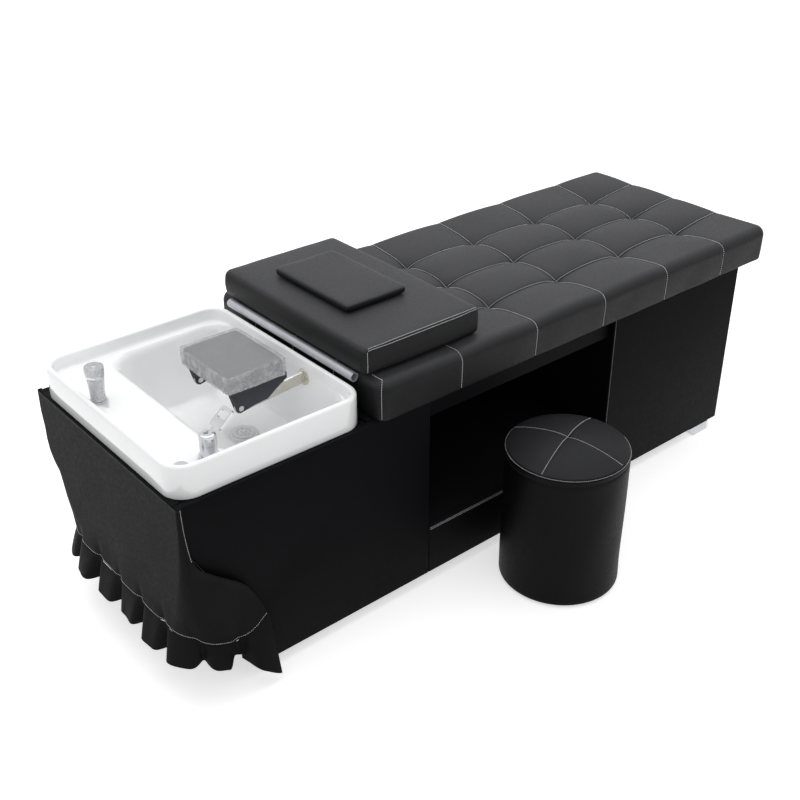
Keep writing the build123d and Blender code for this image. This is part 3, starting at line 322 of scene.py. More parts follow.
# %% Smears, shared by glaze, metal and plastic
smears, asked, made = new_group("handling_smears", {
    "Tone": (0.8, 0.8, 0.8, 1), "Dull Tone": (0.7, 0.7, 0.7, 1), "Smear Scale": 14.0,
    "Clean Roughness": 0.1, "Dull Roughness": 0.2})
place = add_node(smears, "TexCoord").outputs
wipes = add_node(smears, "TexNoise", Vector=place["Object"], Scale=asked["Smear Scale"], Detail=5.0,
                 Roughness=0.6, Distortion=0.8).outputs["Fac"]
dust = add_node(smears, "TexNoise", Vector=place["Object"], Scale=900.0, Detail=2.0).outputs["Fac"]
fill_sockets(smears, made, {
    "Color": blend_colours(smears, spread(smears, wipes, 0.38, 0.72), asked["Tone"], asked["Dull Tone"]),
    "Roughness": spread(smears, wipes, 0.36, 0.7, asked["Clean Roughness"], asked["Dull Roughness"]),
    "Height": dust})

# %% Board grain
boards, asked, made = new_group("board_grain", {"Tone": (0.35, 0.22, 0.12, 1), "Dark Tone": (0.2, 0.12, 0.06, 1)})
place = add_node(boards, "TexCoord").outputs
stretch = add_node(boards, "Mapping", Vector=place["Object"], Scale=(3.0, 40.0, 40.0)).outputs["Vector"]
rings = add_node(boards, "TexNoise", Vector=stretch, Scale=2.2, Detail=6.0, Roughness=0.62,
                 Distortion=0.6).outputs["Fac"]
share = spread(boards, rings, 0.35, 0.65)
fill_sockets(boards, made, {"Color": blend_colours(boards, share, asked["Tone"], asked["Dark Tone"]),
                            "Roughness": spread(boards, share, 0.0, 1.0, 0.6, 0.75), "Height": rings})

# %% Packing film: clear where it lies flat, and paler and more opaque on its sides and folds as painted sheen
haze_and_sheen, asked, made = new_group("film_haze", {"Tone": (0.8, 0.8, 0.8, 1), "Clear Alpha": 0.16, "Sheen Alpha": 0.6},
                              ("Color", "Roughness", "Height", "Alpha"))
place = add_node(haze_and_sheen, "TexCoord").outputs
upward = add_node(haze_and_sheen, "SeparateXYZ", Vector=place["Normal"]).outputs["Z"]
sides = spread(haze_and_sheen, upward, 0.45, 0.92, 1.0, 0.0)
wrinkles = add_node(haze_and_sheen, "TexNoise", Vector=place["Object"], Scale=26.0, Detail=4.0, Roughness=0.62,
                    Distortion=1.6).outputs["Fac"]
# painted sheen: the film's steep sides, more so where wrinkled, get more of its pale tone
painted_sheen = maths(haze_and_sheen, "MULTIPLY", sides, spread(haze_and_sheen, wrinkles, 0.44, 0.66, 0.35, 1.0))
fill_sockets(haze_and_sheen, made, {
    "Color": asked["Tone"], "Roughness": spread(haze_and_sheen, wrinkles, 0.3, 0.7, 0.06, 0.24),
    "Height": maths(haze_and_sheen, "MULTIPLY", wrinkles, sides),
    "Alpha": spread(haze_and_sheen, painted_sheen, 0.0, 1.0, asked["Clear Alpha"], asked["Sheen Alpha"])})
print("groups:", [group.name for group in bpy.data.node_groups])

# %% One way to make any finish


def make_finish(name, slot, group, values, bump, **constants):
    """A Principled material fed by a shared group; constants are set on the shader itself."""
    finish = bpy.data.materials.new(name)
    finish.use_nodes = True
    finish["slot"] = slot
    tree = finish.node_tree
    shader = tree.nodes["Principled BSDF"]
    effect = tree.nodes.new("ShaderNodeGroup")
    effect.node_tree = group
    fill_sockets(tree, effect.inputs, values)
    relief = add_node(tree, "Bump", Strength=bump[0], Distance=bump[1], Height=effect.outputs["Height"])
    tree.links.new(relief.outputs["Normal"], shader.inputs["Normal"])
    for label, socket in (("Color", "Base Color"), ("Roughness", "Roughness"), ("Alpha", "Alpha")):
        if label in effect.outputs:
            tree.links.new(effect.outputs[label], shader.inputs[socket])
    fill_sockets(tree, shader.inputs, {label.replace("_", " "): value for label, value in constants.items()})
    return finish


def leather_finish(name, slot, tone, top_light, roughness=(0.42, 0.56), scale=620.0, bump=(0.35, 0.0004),
                   **constants):
    """Leather: near black, varied a little in soft patches, with painted top light that makes its up-facing surfaces
    paler than its sides, and a pebbled grain.
    """
    return make_finish(name, slot, grain,
                       {"Tone": (*tone, 1), "Top Light Tone": (*top_light, 1), "Pebble Scale": scale,
                        "Smooth Roughness": roughness[0], "Rough Roughness": roughness[1]}, bump, **constants)


def hard_finish(name, slot, tone, dull, roughness, scale=14.0, bump=(0.02, 0.0002), **constants):
    """A glazed, plated, painted or moulded surface with faint smears."""
    return make_finish(name, slot, smears,
                       {"Tone": (*tone, 1), "Dull Tone": (*dull, 1), "Smear Scale": scale,
                        "Clean Roughness": roughness[0], "Dull Roughness": roughness[1]}, bump, **constants)


# %% The finishes of this bed
# the second tone of each leather is painted top light for its up-facing surfaces, the first is for its steep sides
bed_leather = leather_finish("bed_leather", "bed_leather", (0.0085, 0.0087, 0.0096), (0.0440, 0.0445, 0.0480),
                             Specular_IOR_Level=0.16)
# painted shade: the stool's copy of the bed leather, in the same slot, is darker on its sides and top
stool_leather_painted_shade = leather_finish("stool_leather_painted_shade", "bed_leather", (0.0020, 0.0020, 0.0024),
                               (0.0250, 0.0252, 0.0275), Specular_IOR_Level=0.08)
panel_leather = leather_finish("panel_leather", "panel_leather", (0.0042, 0.0043, 0.0052),
                               (0.0100, 0.0102, 0.0115), bump=(0.2, 0.00015), Specular_IOR_Level=0.03)
skirt_leather = leather_finish("skirt_leather", "skirt_leather", (0.0085, 0.0087, 0.0092),
                               (0.0110, 0.0112, 0.0118), roughness=(0.50, 0.66), scale=900.0,
                               bump=(0.2, 0.00015), Specular_IOR_Level=0.05)
headrest_leather = leather_finish("headrest_leather", "headrest_leather", (0.016, 0.016, 0.017),
                                  (0.022, 0.022, 0.024), Specular_IOR_Level=0.3)
basin_glaze = hard_finish("basin_glaze", "basin_white", (0.93, 0.94, 0.945), (0.90, 0.91, 0.915),
                          (0.07, 0.14), scale=5.0, Coat_Weight=0.4, Coat_Roughness=0.05)
drain_enamel = hard_finish("drain_enamel", "chrome", (0.80, 0.81, 0.82), (0.74, 0.75, 0.76), (0.12, 0.2))
chrome_plate = hard_finish("chrome_plate", "chrome", (0.62, 0.63, 0.65), (0.52, 0.53, 0.55), (0.09, 0.22),
                           Metallic=1.0)
arm_steel = hard_finish("arm_steel", "steel", (0.66, 0.64, 0.58), (0.56, 0.54, 0.49), (0.22, 0.34),
                        Metallic=0.85)
black_steel = hard_finish("black_steel", "black_steel", (0.022, 0.025, 0.032), (0.034, 0.037, 0.044),
                          (0.28, 0.42), scale=30.0, bump=(0.12, 0.0002), Specular_IOR_Level=0.4)
tap_plate = hard_finish("tap_plate", "tap_metal", (0.66, 0.67, 0.69), (0.55, 0.56, 0.58), (0.08, 0.18),
                        Metallic=1.0)
rubber_black = hard_finish("rubber_black", "rubber", (0.018, 0.018, 0.018), (0.03, 0.03, 0.03), (0.6, 0.75),
                           scale=40.0, bump=(0.2, 0.0003), Specular_IOR_Level=0.3)
waste_grey = hard_finish("waste_grey", "waste_plastic", (0.50, 0.50, 0.49), (0.42, 0.42, 0.41), (0.35, 0.5),
                         scale=20.0)
nut_white = hard_finish("nut_white", "nut_plastic", (0.70, 0.70, 0.68), (0.6, 0.6, 0.58), (0.38, 0.5),
                        scale=24.0)
foot_black = hard_finish("foot_black", "foot_plastic", (0.02, 0.02, 0.021), (0.03, 0.03, 0.031), (0.45, 0.6),
                         scale=30.0, bump=(0.15, 0.0003), Specular_IOR_Level=0.3)
trim_black = leather_finish("trim_black", "trim_cord", (0.008, 0.008, 0.009), (0.012, 0.012, 0.013),
                            scale=1200.0, Specular_IOR_Level=0.2)
roll_satin = hard_finish("roll_satin", "roll_satin", (0.52, 0.53, 0.56), (0.42, 0.43, 0.46), (0.30, 0.42),
                         scale=10.0, Metallic=0.35)
frame_wood = make_finish("frame_wood", "board_wood", boards,
                         {"Tone": (0.46, 0.33, 0.20, 1), "Dark Tone": (0.32, 0.21, 0.12, 1)}, (0.2, 0.0004))
thread_white = hard_finish("thread_white", "trim_cord", (0.85, 0.86, 0.88), (0.64, 0.65, 0.68), (0.55, 0.7),
                           scale=300.0, bump=(0.3, 0.0003))
film_clear = make_finish("film_clear", "roll_satin", haze_and_sheen,
                         {"Tone": (0.74, 0.75, 0.77, 1), "Clear Alpha": 0.20, "Sheen Alpha": 0.52},
                         (0.6, 0.0012), Specular_IOR_Level=0.9)
print("finishes:", len(bpy.data.materials))

# %% [markdown]
# ## Rigid nodes keep their shape and get their finish
#
# The frame, the plumbing and the metal fittings are right as they are. Each node takes the
# finish that its slot in the record asks for. Boards wrapped in leather have one thing a plain
# box lacks, a soft edge, so the covered panels are merged copies with a small bevel.

# %% Finishes of the nodes that stay
node_finishes = {
    panel_leather: ("recess_fascia", "foot_cabinet_front", "foot_end_panel", "front_head_panel", "back_panel",
                    "head_divider", "foot_divider", "recess_floor", "head_apron", "bed_deck",
                    "cushion_board", "basin_rails", "bottom_board", "deck_bearers"),
    frame_wood: ("corner_posts", "stool_base_board", "stool_top_board"),
    trim_black: ("recess_edge_trim",),
    chrome_plate: ("chrome_feet", "foot_screws", "sprayer_holder", "headrest_pins", "arm_studs", "tap_hole_cap"),
    foot_black: ("centre_foot", "stool_glides"),
    arm_steel: ("headrest_arm_front", "headrest_arm_back"),
    black_steel: ("headrest_bracket_front", "headrest_bracket_back"),
    tap_plate: ("mixer_ring", "mixer_body", "mixer_cap", "mixer_lever", "lever_pin", "sprayer_body",
                "hot_inlet", "cold_inlet", "hose_nipple"),
    rubber_black: ("drain_washer",),
    drain_enamel: ("drain_flange", "drain_strainer"),
    waste_grey: ("bottle_trap", "waste_pipe"),
    nut_white: ("drain_nut", "mixer_nut", "holder_nut", "sprayer_face"),
    roll_satin: ("edge_roll",),
    basin_glaze: ("wash_basin",),
    bed_leather: ("bed_cushion", "pillow", "small_pad"),
    stool_leather_painted_shade: ("stool_cushion", "stool_drum"),
    skirt_leather: ("skirt_panel", "skirt_ruffle"),
    headrest_leather: ("headrest_cushion", "headrest_board"),
}
for finish, names in node_finishes.items():
    for node_name in names:
        node_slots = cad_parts[node_name].data.materials
        node_slots.clear()
        node_slots.append(finish)
without = set(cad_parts) - {name for names in node_finishes.values() for name in names}
print("nodes without a finish:", sorted(without))

# %% Leather-covered panels and chrome feet with soft edges


def soften_node(node_name, new_name, finish, body, width):
    """A merged copy of a node whose sharp edges are rounded to a width in millimetres."""
    copy = add_object(new_name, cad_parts[node_name].data.copy())
    shell = bmesh.new()
    shell.from_mesh(copy.data)
    bmesh.ops.remove_doubles(shell, verts=shell.verts, dist=0.00001)
    bmesh.ops.dissolve_limit(shell, angle_limit=math.radians(0.5), verts=shell.verts, edges=shell.edges)
    shell.to_mesh(copy.data)
    shell.free()
    add_modifier(copy, "soft_edge", "BEVEL", width=width * MM, segments=3, limit_method="ANGLE",
                 angle_limit=math.radians(30), harden_normals=True)
    copy.data.polygons.foreach_set("use_smooth", np.ones(len(copy.data.polygons), bool))
    return finish_piece(copy, finish, body, (node_name,))


for node_name, width in (("front_head_panel", 3), ("foot_cabinet_front", 3), ("foot_end_panel", 3),
                         ("back_panel", 3), ("recess_fascia", 3), ("recess_floor", 2)):
    soften_node(node_name, node_name + "_cover", panel_leather, "base", width)
soften_node("chrome_feet", "plated_feet", chrome_plate, "base", 2)
for side in ("front", "back"):
    soften_node(f"headrest_arm_{side}", f"arm_{side}_rounded", arm_steel, "base", 0.8)
    soften_node(f"headrest_bracket_{side}", f"bracket_{side}_rounded", black_steel, "headrest", 0.6)
print("softened copies made")

# %% [markdown]
# ## Trays: one grid for every cushion
#
# A cushion's cover is a sheet that lies flat on top, rolls over the edge, goes down the sides
# and is tucked in underneath. The same sheet can be a plain grid of two numbers (a, b): inside
# the flat part they are just the place on top, and beyond it the larger of the two overruns is
# the length already walked over the edge. Laid out like this the rings round a corner are true
# arcs, and seams that follow a or b stay on grid lines, so they come out crisp.

# %% Walk over a cushion's edge


def edge_walk(radius, edge, height, foot=5.0, tuck=16.0, wall_step=8.0):
    """(run, out, down) along the edge: flat, quarter round, wall, small quarter round, tuck."""
    turn = np.linspace(0, np.pi / 2, 11)
    wall = np.arange(edge + wall_step, height - foot - wall_step / 2, wall_step)
    line = np.concatenate([
        [[0, 0]],
        np.stack([radius - edge + edge * np.sin(turn), edge * (1 - np.cos(turn))], 1),
        np.stack([np.full(len(wall), radius), wall], 1),
        np.stack([radius - foot + foot * np.cos(turn), height - foot + foot * np.sin(turn)], 1),
        [[radius - foot - tuck, height]]])
    line = line[np.concatenate([[True], np.diff(run_along(line)) > 0.05])]
    return np.column_stack([run_along(line), line])


crease_lines = np.array([-13, -7.5, -4, -2, 0, 2, 4, 7.5, 13])
crease_clear = 14.5


def tray_lines(flat_half, walk, step, creases=()):
    """Grid lines in one direction: even steps, more of them at creases, then the edge's own."""
    lines = np.linspace(-flat_half, flat_half, int(round(2 * flat_half / step)) + 1)
    for crease in creases:
        lines = np.concatenate([lines[np.abs(lines - crease) > crease_clear], crease + crease_lines])
    lines = np.sort(lines[np.abs(lines) <= flat_half])
    outer = flat_half + walk[1:, 0]
    return np.concatenate([-outer[::-1], lines, outer])


def tray_grid(flat, walk, step, creases=((), ())):
    """The two numbers a and b at every point of a tray's grid."""
    return np.meshgrid(*(tray_lines(flat[k], walk, step, creases[k]) for k in (0, 1)), indexing="ij")


# %% Places and faces of a tray


def tray_place(a, b, flat_x, flat_y, walk):
    """x = clip(a) + dir_a out(run), y likewise, run = max(|a| - flat_x, |b| - flat_y, 0)."""
    over_a, over_b = np.maximum(np.abs(a) - flat_x, 0), np.maximum(np.abs(b) - flat_y, 0)
    run = np.maximum(over_a, over_b)
    size = np.hypot(over_a, over_b)
    size = np.where(size > 0, size, 1)
    dir_a, dir_b = np.sign(a) * over_a / size, np.sign(b) * over_b / size
    out = np.interp(run, walk[:, 0], walk[:, 1])
    down = np.interp(run, walk[:, 0], walk[:, 2])
    x = np.clip(a, -flat_x, flat_x) + dir_a * out
    y = np.clip(b, -flat_y, flat_y) + dir_b * out
    return x, y, down, dir_a, dir_b


def tray_faces(rows, columns):
    """The grid's quads and one many-sided face that closes the tucked border underneath."""
    return grid_faces(rows, columns).tolist() + [grid_border(rows, columns).tolist()]


# %% Gentle random height, and a node's box


def ripple(x, y, size, seed):
    """Gentle random height: a third of the sum of nine sine waves of random heading and phase."""
    dice = np.random.default_rng(seed)
    heading, phase, stretch_by = dice.uniform(0, 2 * np.pi, (2, 9)).tolist() + [dice.uniform(0.6, 1.6, 9)]
    total = np.zeros(np.broadcast(x, y).shape)
    for angle, start, longer in zip(heading, phase, stretch_by):
        total = total + np.sin(2 * np.pi * (x * np.cos(angle) + y * np.sin(angle)) / (size * longer) + start)
    return total / 3


def node_box(name):
    """A node's lowest and highest corner in millimetres."""
    return tuple(np.array(corner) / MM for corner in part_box(name))


print("cushion edge walk of 98 mm:", len(edge_walk(40, 32, 98)), "points")

# %% [markdown]
# ## Thread
#
# The pale stitching is what gives this bed its look. Each stitch is a small spindle, four-sided
# and pointed at both ends, that rises from the leather and dives back into it. All stitches of
# a line are placed together: the line is cut into even lengths, and one small pattern of
# fourteen points is carried to every cut.

# %% Stitches along lines


def along(points, normals, pitch):
    """Even stops along a line: places, unit tangents and unit normals."""
    run = run_along(points)
    stops = np.arange(pitch / 2, run[-1], pitch)
    at, ahead, behind, normal = (
        np.stack([np.interp(where, run, table[:, k]) for k in range(3)], 1)
        for where, table in ((stops, points), (stops + 0.5, points), (stops - 0.5, points), (stops, normals)))
    tangent = unit(ahead - behind)
    return at, tangent, unit(normal - tangent * np.einsum("ij,ij->i", tangent, normal)[:, None])


# the spindle: three rings of four points, each (share of the length, girth), then its two ends
spindle_rings = ((-0.33, 0.8), (0.0, 1.0), (0.33, 0.8))
thread_rise, thread_dive = 0.35, 0.5
spindle_quads = [(i + k, i + (k + 1) % 4, i + 4 + (k + 1) % 4, i + 4 + k) for i in (0, 4) for k in range(4)]
spindle_ends = [(12, (k + 1) % 4, k) for k in range(4)] + [(13, 8 + k, 8 + (k + 1) % 4) for k in range(4)]


def stitch(name, lines, body, pitch=5.6, length=4.2, radius=0.78):
    """One piece of thread for many lines: place + x tangent + y side + z normal of each spindle point."""
    stops = [along(points, normals, pitch) for points, normals in lines]
    at, tangent, normal = (np.concatenate([stop[k] for stop in stops]) for k in range(3))
    frames = np.stack([tangent, np.cross(tangent, normal), normal], 1)
    turn = np.arange(4) * np.pi / 2 + np.pi / 4
    spindle = [(share * length, radius * girth * np.cos(angle), radius * girth * np.sin(angle)
                + thread_rise * radius) for share, girth in spindle_rings for angle in turn]
    spindle += [(end * length / 2, 0, -thread_dive * radius) for end in (-1, 1)]
    points = at[:, None] + np.einsum("pk,nkj->npj", np.array(spindle), frames)
    starts = np.arange(len(at))[:, None, None] * len(spindle)
    faces = [face for pattern in (spindle_quads, spindle_ends)
             for face in (starts + np.array(pattern)).reshape(-1, len(pattern[0])).tolist()]
    print(name, len(at), "stitches")
    return make_piece(name, points, faces, thread_white, body)


def slope_normals(surface, a, b, step=0.4):
    """Unit normals of a surface(a, b): the cross product of its two central differences."""
    return unit(np.cross(surface(a + step, b) - surface(a - step, b), surface(a, b + step) - surface(a, b - step)))


# %% [markdown]
# ## The bed cushion
#
# A thick foam slab in leather, quilted by five seams across and three along, and pulled down by
# a hidden button at each crossing. Between the seams the foam pushes the leather up. A power of
# a sine does this well: |sin|^0.42 is steep at a seam and nearly flat in the middle of a cell.
# The two directions are added, so a seam alone dips a little and a crossing dips a lot.

# %% Sizes of the cushion and its seams
bed_low, bed_high = node_box("bed_cushion")
bed_middle, bed_half = (bed_low + bed_high) / 2, (bed_high - bed_low) / 2
bed_height = bed_high[2] - bed_low[2]
seams_across = np.array([-171.5, 72.25, 316.0, 559.75, 803.5])
seams_along = np.array([-157.0, 0.0, 157.0])
bed_tuft_z, bed_swell, both_swells, tuft_pull, tuft_reach = 592.0, 21.6, 0.34, 3.0, 26
groove_pull, groove_half, calm_reach, top_waver = 1.3, 2.4, 150, 0.8
# the sides: where they start below the top, and how much they swell, dip, waver and bow
side_starts, side_swell, side_groove, side_waver, side_in = 34, 4.0, 1.0, 0.7, 0.7
side_bow, bow_middle, bow_spread = 3.2, 0.35, 0.42
bed_corner, bed_edge = 30.0, 28.0
bed_walk = edge_walk(bed_corner, bed_edge, bed_height)
bed_flat = (bed_half[0] - bed_corner, bed_half[1] - bed_corner)
print("bed cushion:", (bed_high - bed_low).round(1), "mm")

# %% Quilted surface


def cell_swell(v, seams, low, high, edge_phase=0.60):
    """|sin(pi phase)| ** 0.42; phase is whole at each seam and runs 0.6 further to the edge."""
    count = len(seams)
    phase = np.interp(v, [low, *seams, high], [-edge_phase, *range(count), count - 1 + edge_phase])
    return np.abs(np.sin(np.pi * phase)) ** 0.42


def seam_gap(v, seams):
    """Distance to the nearest seam."""
    return np.min(np.abs(v[..., None] - seams), axis=-1)


def border_calm(swell, v, axis):
    """1 - (1 - swell) (0.3 + 0.7 share ** 1.5): near the border a seam dips only a third as much."""
    share = np.clip((bed_half[axis] - np.abs(v - bed_middle[axis])) / calm_reach, 0, 1)
    return 1 - (1 - swell) * (0.3 + 0.7 * share ** 1.5)


def bed_surface(a, b):
    """z = low + (top(x, y) - low) (1 - down / height); top adds the two swells, seam grooves and tufts."""
    x, y, down, out_x, out_y = tray_place(a, b, *bed_flat, bed_walk)
    x, y = x + bed_middle[0], y + bed_middle[1]
    swell_x = border_calm(cell_swell(x, seams_across, bed_low[0], bed_high[0]), y, 1)
    swell_y = border_calm(cell_swell(y, seams_along, bed_low[1], bed_high[1]), x, 0)
    gap_x, gap_y = seam_gap(x, seams_across), seam_gap(y, seams_along)
    groove_x, groove_y = np.exp(-(gap_x / groove_half) ** 2), np.exp(-(gap_y / groove_half) ** 2)
    top = bed_tuft_z + bed_swell * (swell_x + swell_y - both_swells * swell_x * swell_y)
    top = top - groove_pull * groove_x - groove_pull * groove_y
    top = top - tuft_pull * np.exp(-((gap_x ** 2 + gap_y ** 2) / tuft_reach ** 2))
    top = top + top_waver * ripple(x, y, 210, 3)
    share = down / bed_height
    z = bed_low[2] + (top - bed_low[2]) * (1 - share)
    on_side = np.clip(down / side_starts, 0, 1)
    along_front = np.abs(out_y) >= np.abs(out_x)
    swell, groove = np.where(along_front, swell_x, swell_y), np.where(along_front, groove_x, 0)
    push = on_side * (side_swell * (swell - 1) * (1 - 0.5 * share) - side_groove * groove
                      - side_bow * (share - bow_middle) ** 2 / bow_spread
                      + side_waver * (ripple(x, y + z, 160, 5) - side_in))
    return np.stack([x + out_x * push, y + out_y * push, z], -1)


grid_a, grid_b = tray_grid(bed_flat, bed_walk, 10.5, (seams_across - bed_middle[0], seams_along - bed_middle[1]))
quilted_bed = make_piece("quilted_bed_cushion", bed_surface(grid_a, grid_b), tray_faces(*grid_a.shape),
                         bed_leather, "base", stands_for=("bed_cushion",))
print("quilted cushion:", grid_a.size, "points")

# %% Stitching of the quilted cushion
seam_aside, thread_step, head_line = 2.6, 1.5, 10
down_side = bed_walk[-12, 0]
reach_a, reach_b = bed_flat[0] + down_side, bed_flat[1] + down_side


def bed_line(a, b):
    """A stitched line given in tray numbers, with the surface's normals along it."""
    a, b = np.broadcast_arrays(a, b)
    return bed_surface(a, b), slope_normals(bed_surface, a, b)


bed_lines = [bed_line(seam + seam_aside, np.arange(-reach_b, reach_b, thread_step))
             for seam in seams_across - bed_middle[0]]
bed_lines += [bed_line(np.arange(-reach_a, reach_a, thread_step), seam + seam_aside)
              for seam in seams_along - bed_middle[1]]
over = np.arange(head_line, down_side, thread_step)
bed_lines += [bed_line(-bed_flat[0] - over, side * (bed_flat[1] + over)) for side in (-1, 1)]
bed_lines.append(bed_line(-bed_flat[0] - head_line,
                          np.arange(-bed_flat[1] - head_line, bed_flat[1] + head_line, thread_step)))
stitch("bed_stitching", bed_lines, "base")

# %% [markdown]
# ## Loose pillows, blown up as cloth
#
# A pillow's cover is cut slightly small and the filling stretches it. That is a simulation that
# Blender does well: a closed mesh of even squares, a little air pressure, no gravity. The
# start is a plain soft box from the tray grid, set in by a few millimetres, and no point may
# move further than a cap, so the pillow ends up in the space that its solid has in the frame.

# %% Soft boxes


def soft_box(low, high, corner, edge, foot, step, bow=0.0, crown=0.0, nose=0.0):
    """A tray laid in a box: sides bowed in by bow at their ends, a crown, and a rolled nose at low x."""
    middle, half = (low + high) / 2, (high - low) / 2
    height = high[2] - low[2]
    walk = edge_walk(corner, edge, height, foot, min(14.0, corner - foot))
    flat = (half[0] - corner, half[1] - corner)
    a, b = tray_grid(flat, walk, step)
    x, y, down, out_x, out_y = tray_place(a, b, *flat, walk)
    share_x, share_y = np.clip(x / half[0], -1, 1), np.clip(y / half[1], -1, 1)
    z = high[2] - down - crown * (1 - (1 - share_x ** 2) * (1 - share_y ** 2)) * (1 - down / height)
    level = 2 * down / height - 1
    x = x - np.sign(x) * bow * (share_y ** 2 + 0.6 * level ** 2) * np.abs(share_x) ** 3
    y = y - np.sign(y) * bow * (share_x ** 2 + 0.6 * level ** 2) * np.abs(share_y) ** 3
    from_nose = np.clip(1 - (x + half[0]) / (2.2 * nose + 1e-6), 0, 1) if nose else 0
    x = x + nose * (1 - np.sqrt(np.clip(1 - 0.9 * level ** 2, 0, 1))) * from_nose
    return np.stack([x + middle[0], y + middle[1], z], -1), tray_faces(*a.shape)


# %% From modifiers to a plain mesh


def baked_mesh(piece):
    """Swaps a piece's mesh for the one its modifiers make, and clears them."""
    graph = bpy.context.evaluated_depsgraph_get()
    mesh = bpy.data.meshes.new_from_object(piece.evaluated_get(graph))
    piece.modifiers.clear()
    piece.data = mesh
    return piece


def mesh_points(mesh):
    """A mesh's points as an array, in metres."""
    flat = np.empty(len(mesh.vertices) * 3)
    mesh.vertices.foreach_get("co", flat)
    return flat.reshape(-1, 3)


# %% Blown up as cloth
cloth_steps = 20


def puffed(name, points, faces, material, body, stands_for, voxel, cap, floor_z):
    """A soft box remeshed to even squares, blown up as cloth, capped, and smoothed once."""
    piece = make_piece(name, points, faces, material, body)
    add_modifier(piece, "even_squares", "REMESH", mode="VOXEL", voxel_size=voxel * MM, use_smooth_shade=True)
    baked_mesh(piece)
    start = mesh_points(piece.data)
    cloth = piece.modifiers.new("cover", "CLOTH")
    set_all(cloth.settings, quality=6, mass=0.25, tension_stiffness=12, compression_stiffness=12,
            shear_stiffness=6, bending_stiffness=3, use_pressure=True, uniform_pressure_force=4)
    cloth.settings.effector_weights.gravity = 0
    for step in range(1, cloth_steps + 1):
        bpy.context.scene.frame_set(step)
    baked_mesh(piece)
    bpy.context.scene.frame_set(1)
    move = mesh_points(piece.data) - start
    far = np.linalg.norm(move, axis=1)
    move *= np.minimum(1, cap * MM / np.maximum(far, 1e-9))[:, None]
    end = start + move
    end[:, 2] = np.maximum(end[:, 2], floor_z * MM)
    piece.data.vertices.foreach_set("co", end.ravel())
    piece.data.update()
    print(name, "moved by", (far.max() / MM).round(2), "mm at most before the cap")
    add_modifier(piece, "smooth", "SUBSURF", levels=1, render_levels=1)
    baked_mesh(piece)
    piece.data.polygons.foreach_set("use_smooth", np.ones(len(piece.data.polygons), bool))
    finish_piece(piece, material, body, stands_for)
    return piece


# %% Pillow, small pad and headrest pad


def pad_in(name, node_name, body, material, inset, corner, edge, voxel, fill, **shape):
    """A puffed pad that starts a little inside its node's box."""
    low, high = node_box(node_name)
    points, faces = soft_box(low + inset, high - inset, corner, edge, edge, 9.0, **shape)
    return puffed(name, points, faces, material, body, (node_name,), voxel, inset, low[2])


leather_pillow = pad_in("leather_pillow", "pillow", "pillow", bed_leather, 1.6, 13.0, 10.0, 6.0, 0.85,
                        bow=1.5, crown=5.0, nose=14.0)
leather_pad = pad_in("leather_small_pad", "small_pad", "small_pad", bed_leather, 1.4, 12.0, 5.0, 4.5, 0.7,
                     bow=1.5, crown=2.0)
headrest_pad = pad_in("headrest_pad", "headrest_cushion", "headrest", headrest_leather, 1.2, 9.0, 6.0, 4.0,
                      0.85, bow=1.5, crown=2.5)
for pad in (leather_pillow, leather_pad, headrest_pad):
    print(pad.name, len(pad.data.polygons), "faces")

# %% Stitching found on the pillow's own skin
pillow_low, pillow_high = node_box("pillow")
pillow_tree = BVHTree.FromPolygons([v.co for v in leather_pillow.data.vertices],
                                   [tuple(p.vertices) for p in leather_pillow.data.polygons])


def on_pillow(x, y, z):
    """The nearest places and normals of the pillow's skin to some points, in millimetres."""
    points = np.stack(np.broadcast_arrays(x, y, z), 1)
    found = [pillow_tree.find_nearest(Vector(point) * MM) for point in points]
    return np.array([list(hit[0]) for hit in found]) / MM, np.array([list(hit[1]) for hit in found])


front_x = np.linspace(pillow_low[0] + 16, pillow_high[0] - 8, 60)
front_edges = [on_pillow(front_x, pillow_low[1] + 5.0, pillow_high[2] - 1),
               on_pillow(front_x, pillow_low[1] + 1.0, pillow_high[2] - 8),
               on_pillow(pillow_low[0] + 13, pillow_low[1], np.linspace(pillow_high[2] - 10, pillow_low[2] + 8, 16))]
stitch("pillow_stitching", front_edges, "pillow", pitch=4.2, length=3.2, radius=0.7)

# %% [markdown]
# ## The wash basin
#
# The basin is one sheet of acrylic: it stands on the box, rises to a rounded rim, drops to the
# flat tap deck, and from there falls into the deep bowl with the drain. A loft does this: a list
# of rounded rectangles, from the outside foot over the rim down to the drain, all with the same
# number of points, joined ring to ring. Solidify gives the sheet its thickness.

# %% Rings of the basin


def rounded_ring(x0, x1, half_y, corner, z, side_count=9, corner_count=11):
    """Points of a rectangle with arc corners, counter-clockwise, the same number on every ring."""
    turn = np.linspace(0, np.pi / 2, corner_count)
    centres = [(x1 - corner, half_y - corner), (x0 + corner, half_y - corner),
               (x0 + corner, -half_y + corner), (x1 - corner, -half_y + corner)]
    arcs = [np.stack([cx + corner * np.cos(turn + k * np.pi / 2), cy + corner * np.sin(turn + k * np.pi / 2)], 1)
            for k, (cx, cy) in enumerate(centres)]
    shares = np.linspace(0, 1, side_count + 2)[1:-1, None]
    flat = np.concatenate([np.concatenate([arc, arc[-1] + shares * (following[0] - arc[-1])])
                           for arc, following in zip(arcs, arcs[1:] + arcs[:1])])
    return np.column_stack([flat, np.full(len(flat), z)])


def round_corner(first, last, bend, count=6):
    """Rows on a quarter ellipse, a rational curve from first to last that is pulled towards bend."""
    first, last, bend = (np.array(row, float) for row in (first, last, bend))
    t = np.linspace(0, 1, count)[:, None]
    weights = (1 - t) ** 2, 2 * math.sqrt(0.5) * t * (1 - t), t ** 2
    return (weights[0] * first + weights[1] * bend + weights[2] * last) / sum(weights)


basin_low, basin_high = node_box("wash_basin")
rim_z, foot_z, deck_z, floor_z = basin_high[2], 529.3, 575.0, 415.0
print("basin:", (basin_high - basin_low).round(1), "mm, rim at", rim_z)

